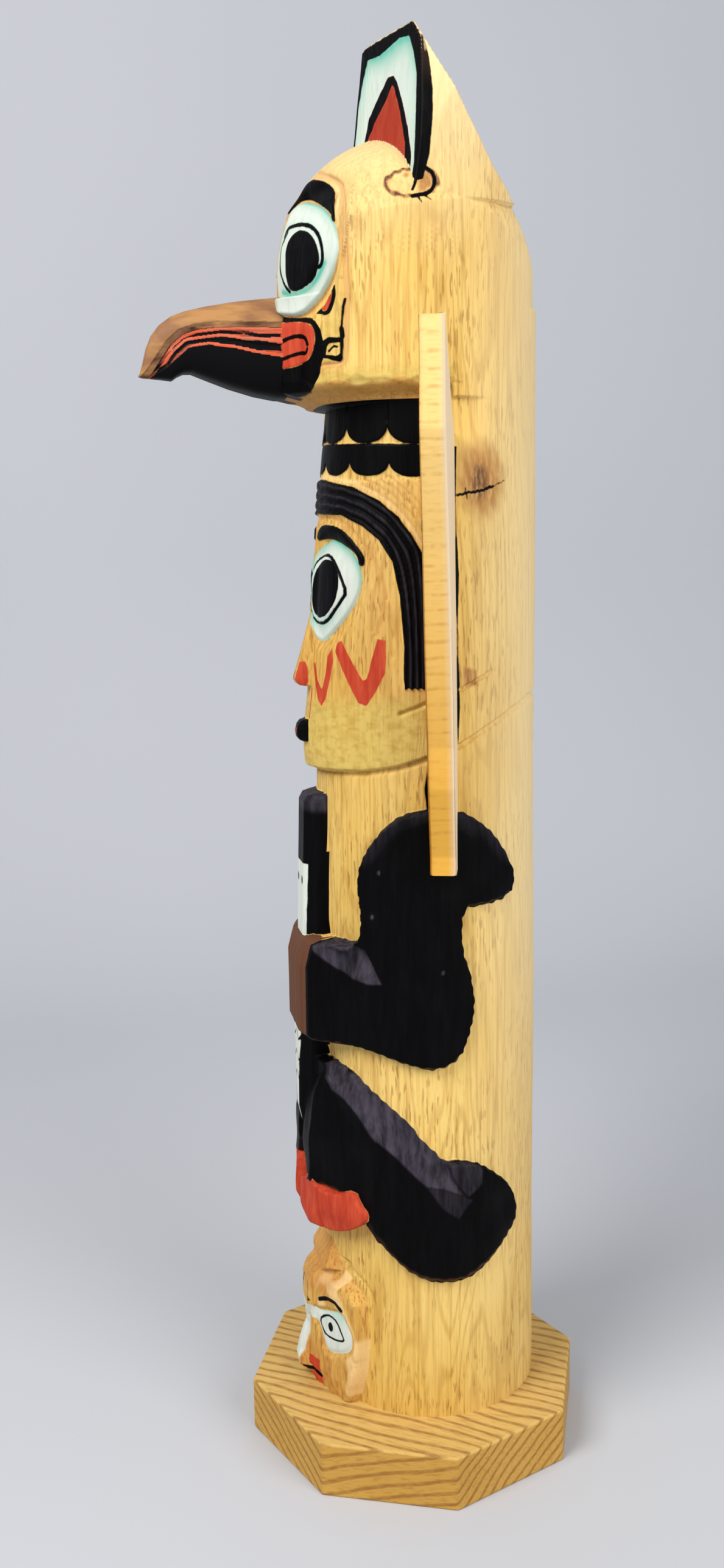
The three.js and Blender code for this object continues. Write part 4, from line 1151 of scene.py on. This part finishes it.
pole_paint = pole_look()
PARTS = (("log_small_face", POLE_FOOT, 94, False), ("log_legs", 94, 169, False),
    ("log_arms", 169, None, False), ("log_face", None, 318, True), ("log_collar", 318, 392, True),
    ("log_ears", 392, 468, True))
for name, low, high, above_chin in PARTS:
    sleeve = lofted(name, ROUND, spread([(0, 1, 1 / 188)]), log_part(low, high, above_chin), PAINT)
    show(sleeve, "pole", pole_paint)
show(base(), "base", board_look())
beak_turn = np.linspace(0, 2 * math.pi, 361)
beak_sine = np.sin(beak_turn)
beak_lift = np.sign(beak_sine) * np.abs(beak_sine) ** np.where(beak_sine < 0, 1.5, 1.1)
beak_u = np.mod(np.arctan2(beak_lift, np.cos(beak_turn)), 2 * math.pi)
beak_u[-1] = 2 * math.pi
beak_rows = spread([(-40.2, -80, 0.3), (-80, -86.4, 0.16)])
show(lofted("beak_carved", beak_u, beak_rows, beak_points, ("black", "red")), "beak",
    beak_look())
wing_u = spread([(0, 1, 1 / 120), (1, 1.2, 0.05), (1.2, 2.0, 0.2), (2.0, 2.2, 0.05), (2.2, 3.2, 1 / 40),
    (3.2, 3.4, 0.05), (3.4, 4.2, 0.2), (4.2, 4.4, 0.1)])
wing_u = np.append(wing_u[wing_u < 4.19], [4.2, 4.4])
wing_paint_look = wing_look()
for side, node, sweep in ((1, "wing_left", WING_SWEEP), (-1, "wing_right", FAR_WING_SWEEP)):
    piece = lofted(node + "_board", wing_u, spread([(0, 1, 1 / 300)]), wing_points(side, sweep),
        ("black", "white", "red", "pale"))
    show(piece, node, wing_paint_look)


# ---- camera, light and backdrop -------------------------------------------------------------

CAMERA_AT = (0.461826, -0.107959, 0.3136)
CAMERA_TURNS = (78.8, 9.56, -0.91)    # round, up and tilted, in degrees
CAMERA_LENS, CAMERA_SENSOR = 32.14, 36


def camera():
    az, el, roll = (math.radians(turn) for turn in CAMERA_TURNS)
    back = Vector((math.sin(az) * math.cos(el), -math.cos(az) * math.cos(el), math.sin(el)))
    right = Vector((math.cos(az), math.sin(az), 0))
    up = back.cross(right)
    across = right * math.cos(roll) + up * math.sin(roll)
    upright = up * math.cos(roll) - right * math.sin(roll)
    data = bpy.data.cameras.new("camera")
    data.lens = CAMERA_LENS
    data.sensor_width = CAMERA_SENSOR
    cam = bpy.data.objects.new("camera", data)
    cam.matrix_world = Matrix((across, upright, back)).transposed().to_4x4()
    cam.matrix_world.translation = Vector(CAMERA_AT)
    scene.collection.objects.link(cam)
    scene.camera = cam


def lamp(name, where, target, size, power, colour=(1, 1, 1)):
    data = bpy.data.lights.new(name, "AREA")
    data.shape = "DISK"
    data.size = size
    data.energy = power
    data.color = colour
    obj = bpy.data.objects.new(name, data)
    obj.matrix_world = (Vector(where) - Vector(target)).to_track_quat("Z", "Y").to_matrix().to_4x4()
    obj.matrix_world.translation = Vector(where)
    scene.collection.objects.link(obj)


SHEET_FRONT, SHEET_LENGTH, SHEET_HALF = 1.5, 3.6, 5.0
WALL_START, WALL_CURVE = -0.45, 0.3


def backdrop():
    """A sheet that lies on the floor, curves up behind the piece and stands as a wall."""
    bm = bmesh.new()
    bmesh.ops.create_grid(bm, x_segments=80, y_segments=4, size=1.0)
    for v in bm.verts:
        t = SHEET_FRONT - SHEET_LENGTH * (v.co.x + 1) / 2
        if t > WALL_START:
            v.co.x, v.co.z = t, 0.0
        elif t > WALL_START - WALL_CURVE * math.pi / 2:
            a = (WALL_START - t) / WALL_CURVE
            v.co.x = WALL_START - WALL_CURVE * math.sin(a)
            v.co.z = WALL_CURVE - WALL_CURVE * math.cos(a)
        else:
            v.co.x = WALL_START - WALL_CURVE
            v.co.z = WALL_CURVE + (WALL_START - WALL_CURVE * math.pi / 2 - t)
        v.co.y *= SHEET_HALF
    bmesh.ops.recalc_face_normals(bm, faces=bm.faces)
    for f in bm.faces:
        f.smooth = True
    mesh = bpy.data.meshes.new("backdrop")
    bm.to_mesh(mesh)
    bm.free()
    sheet = bpy.data.objects.new("backdrop", mesh)
    look, tree = new_look("backdrop_paper")
    soft = grain(tree, (3, 3, 3), 1.0)
    finish_look(tree, Base_Color=blend(tree, soft, lin(190, 192, 197), lin(196, 198, 203)),
        Roughness=0.9)
    mesh.materials.append(look)
    scene.collection.objects.link(sheet)


scene.view_settings.view_transform = "Standard"
camera()
backdrop()
lamp("key", (0.5, -0.75, 1.05), (0, 0, 0.26), 0.7, 13.4, (1.0, 0.98, 0.95))
lamp("fill", (1.0, 0.6, 0.75), (0, 0, 0.26), 0.9, 10, (1.0, 0.99, 0.97))
world = bpy.data.worlds.new("room")
world.use_nodes = True
world.node_tree.nodes["Background"].inputs[0].default_value = (0.8, 0.84, 0.9, 1)
world.node_tree.nodes["Background"].inputs[1].default_value = 0.5
scene.world = world
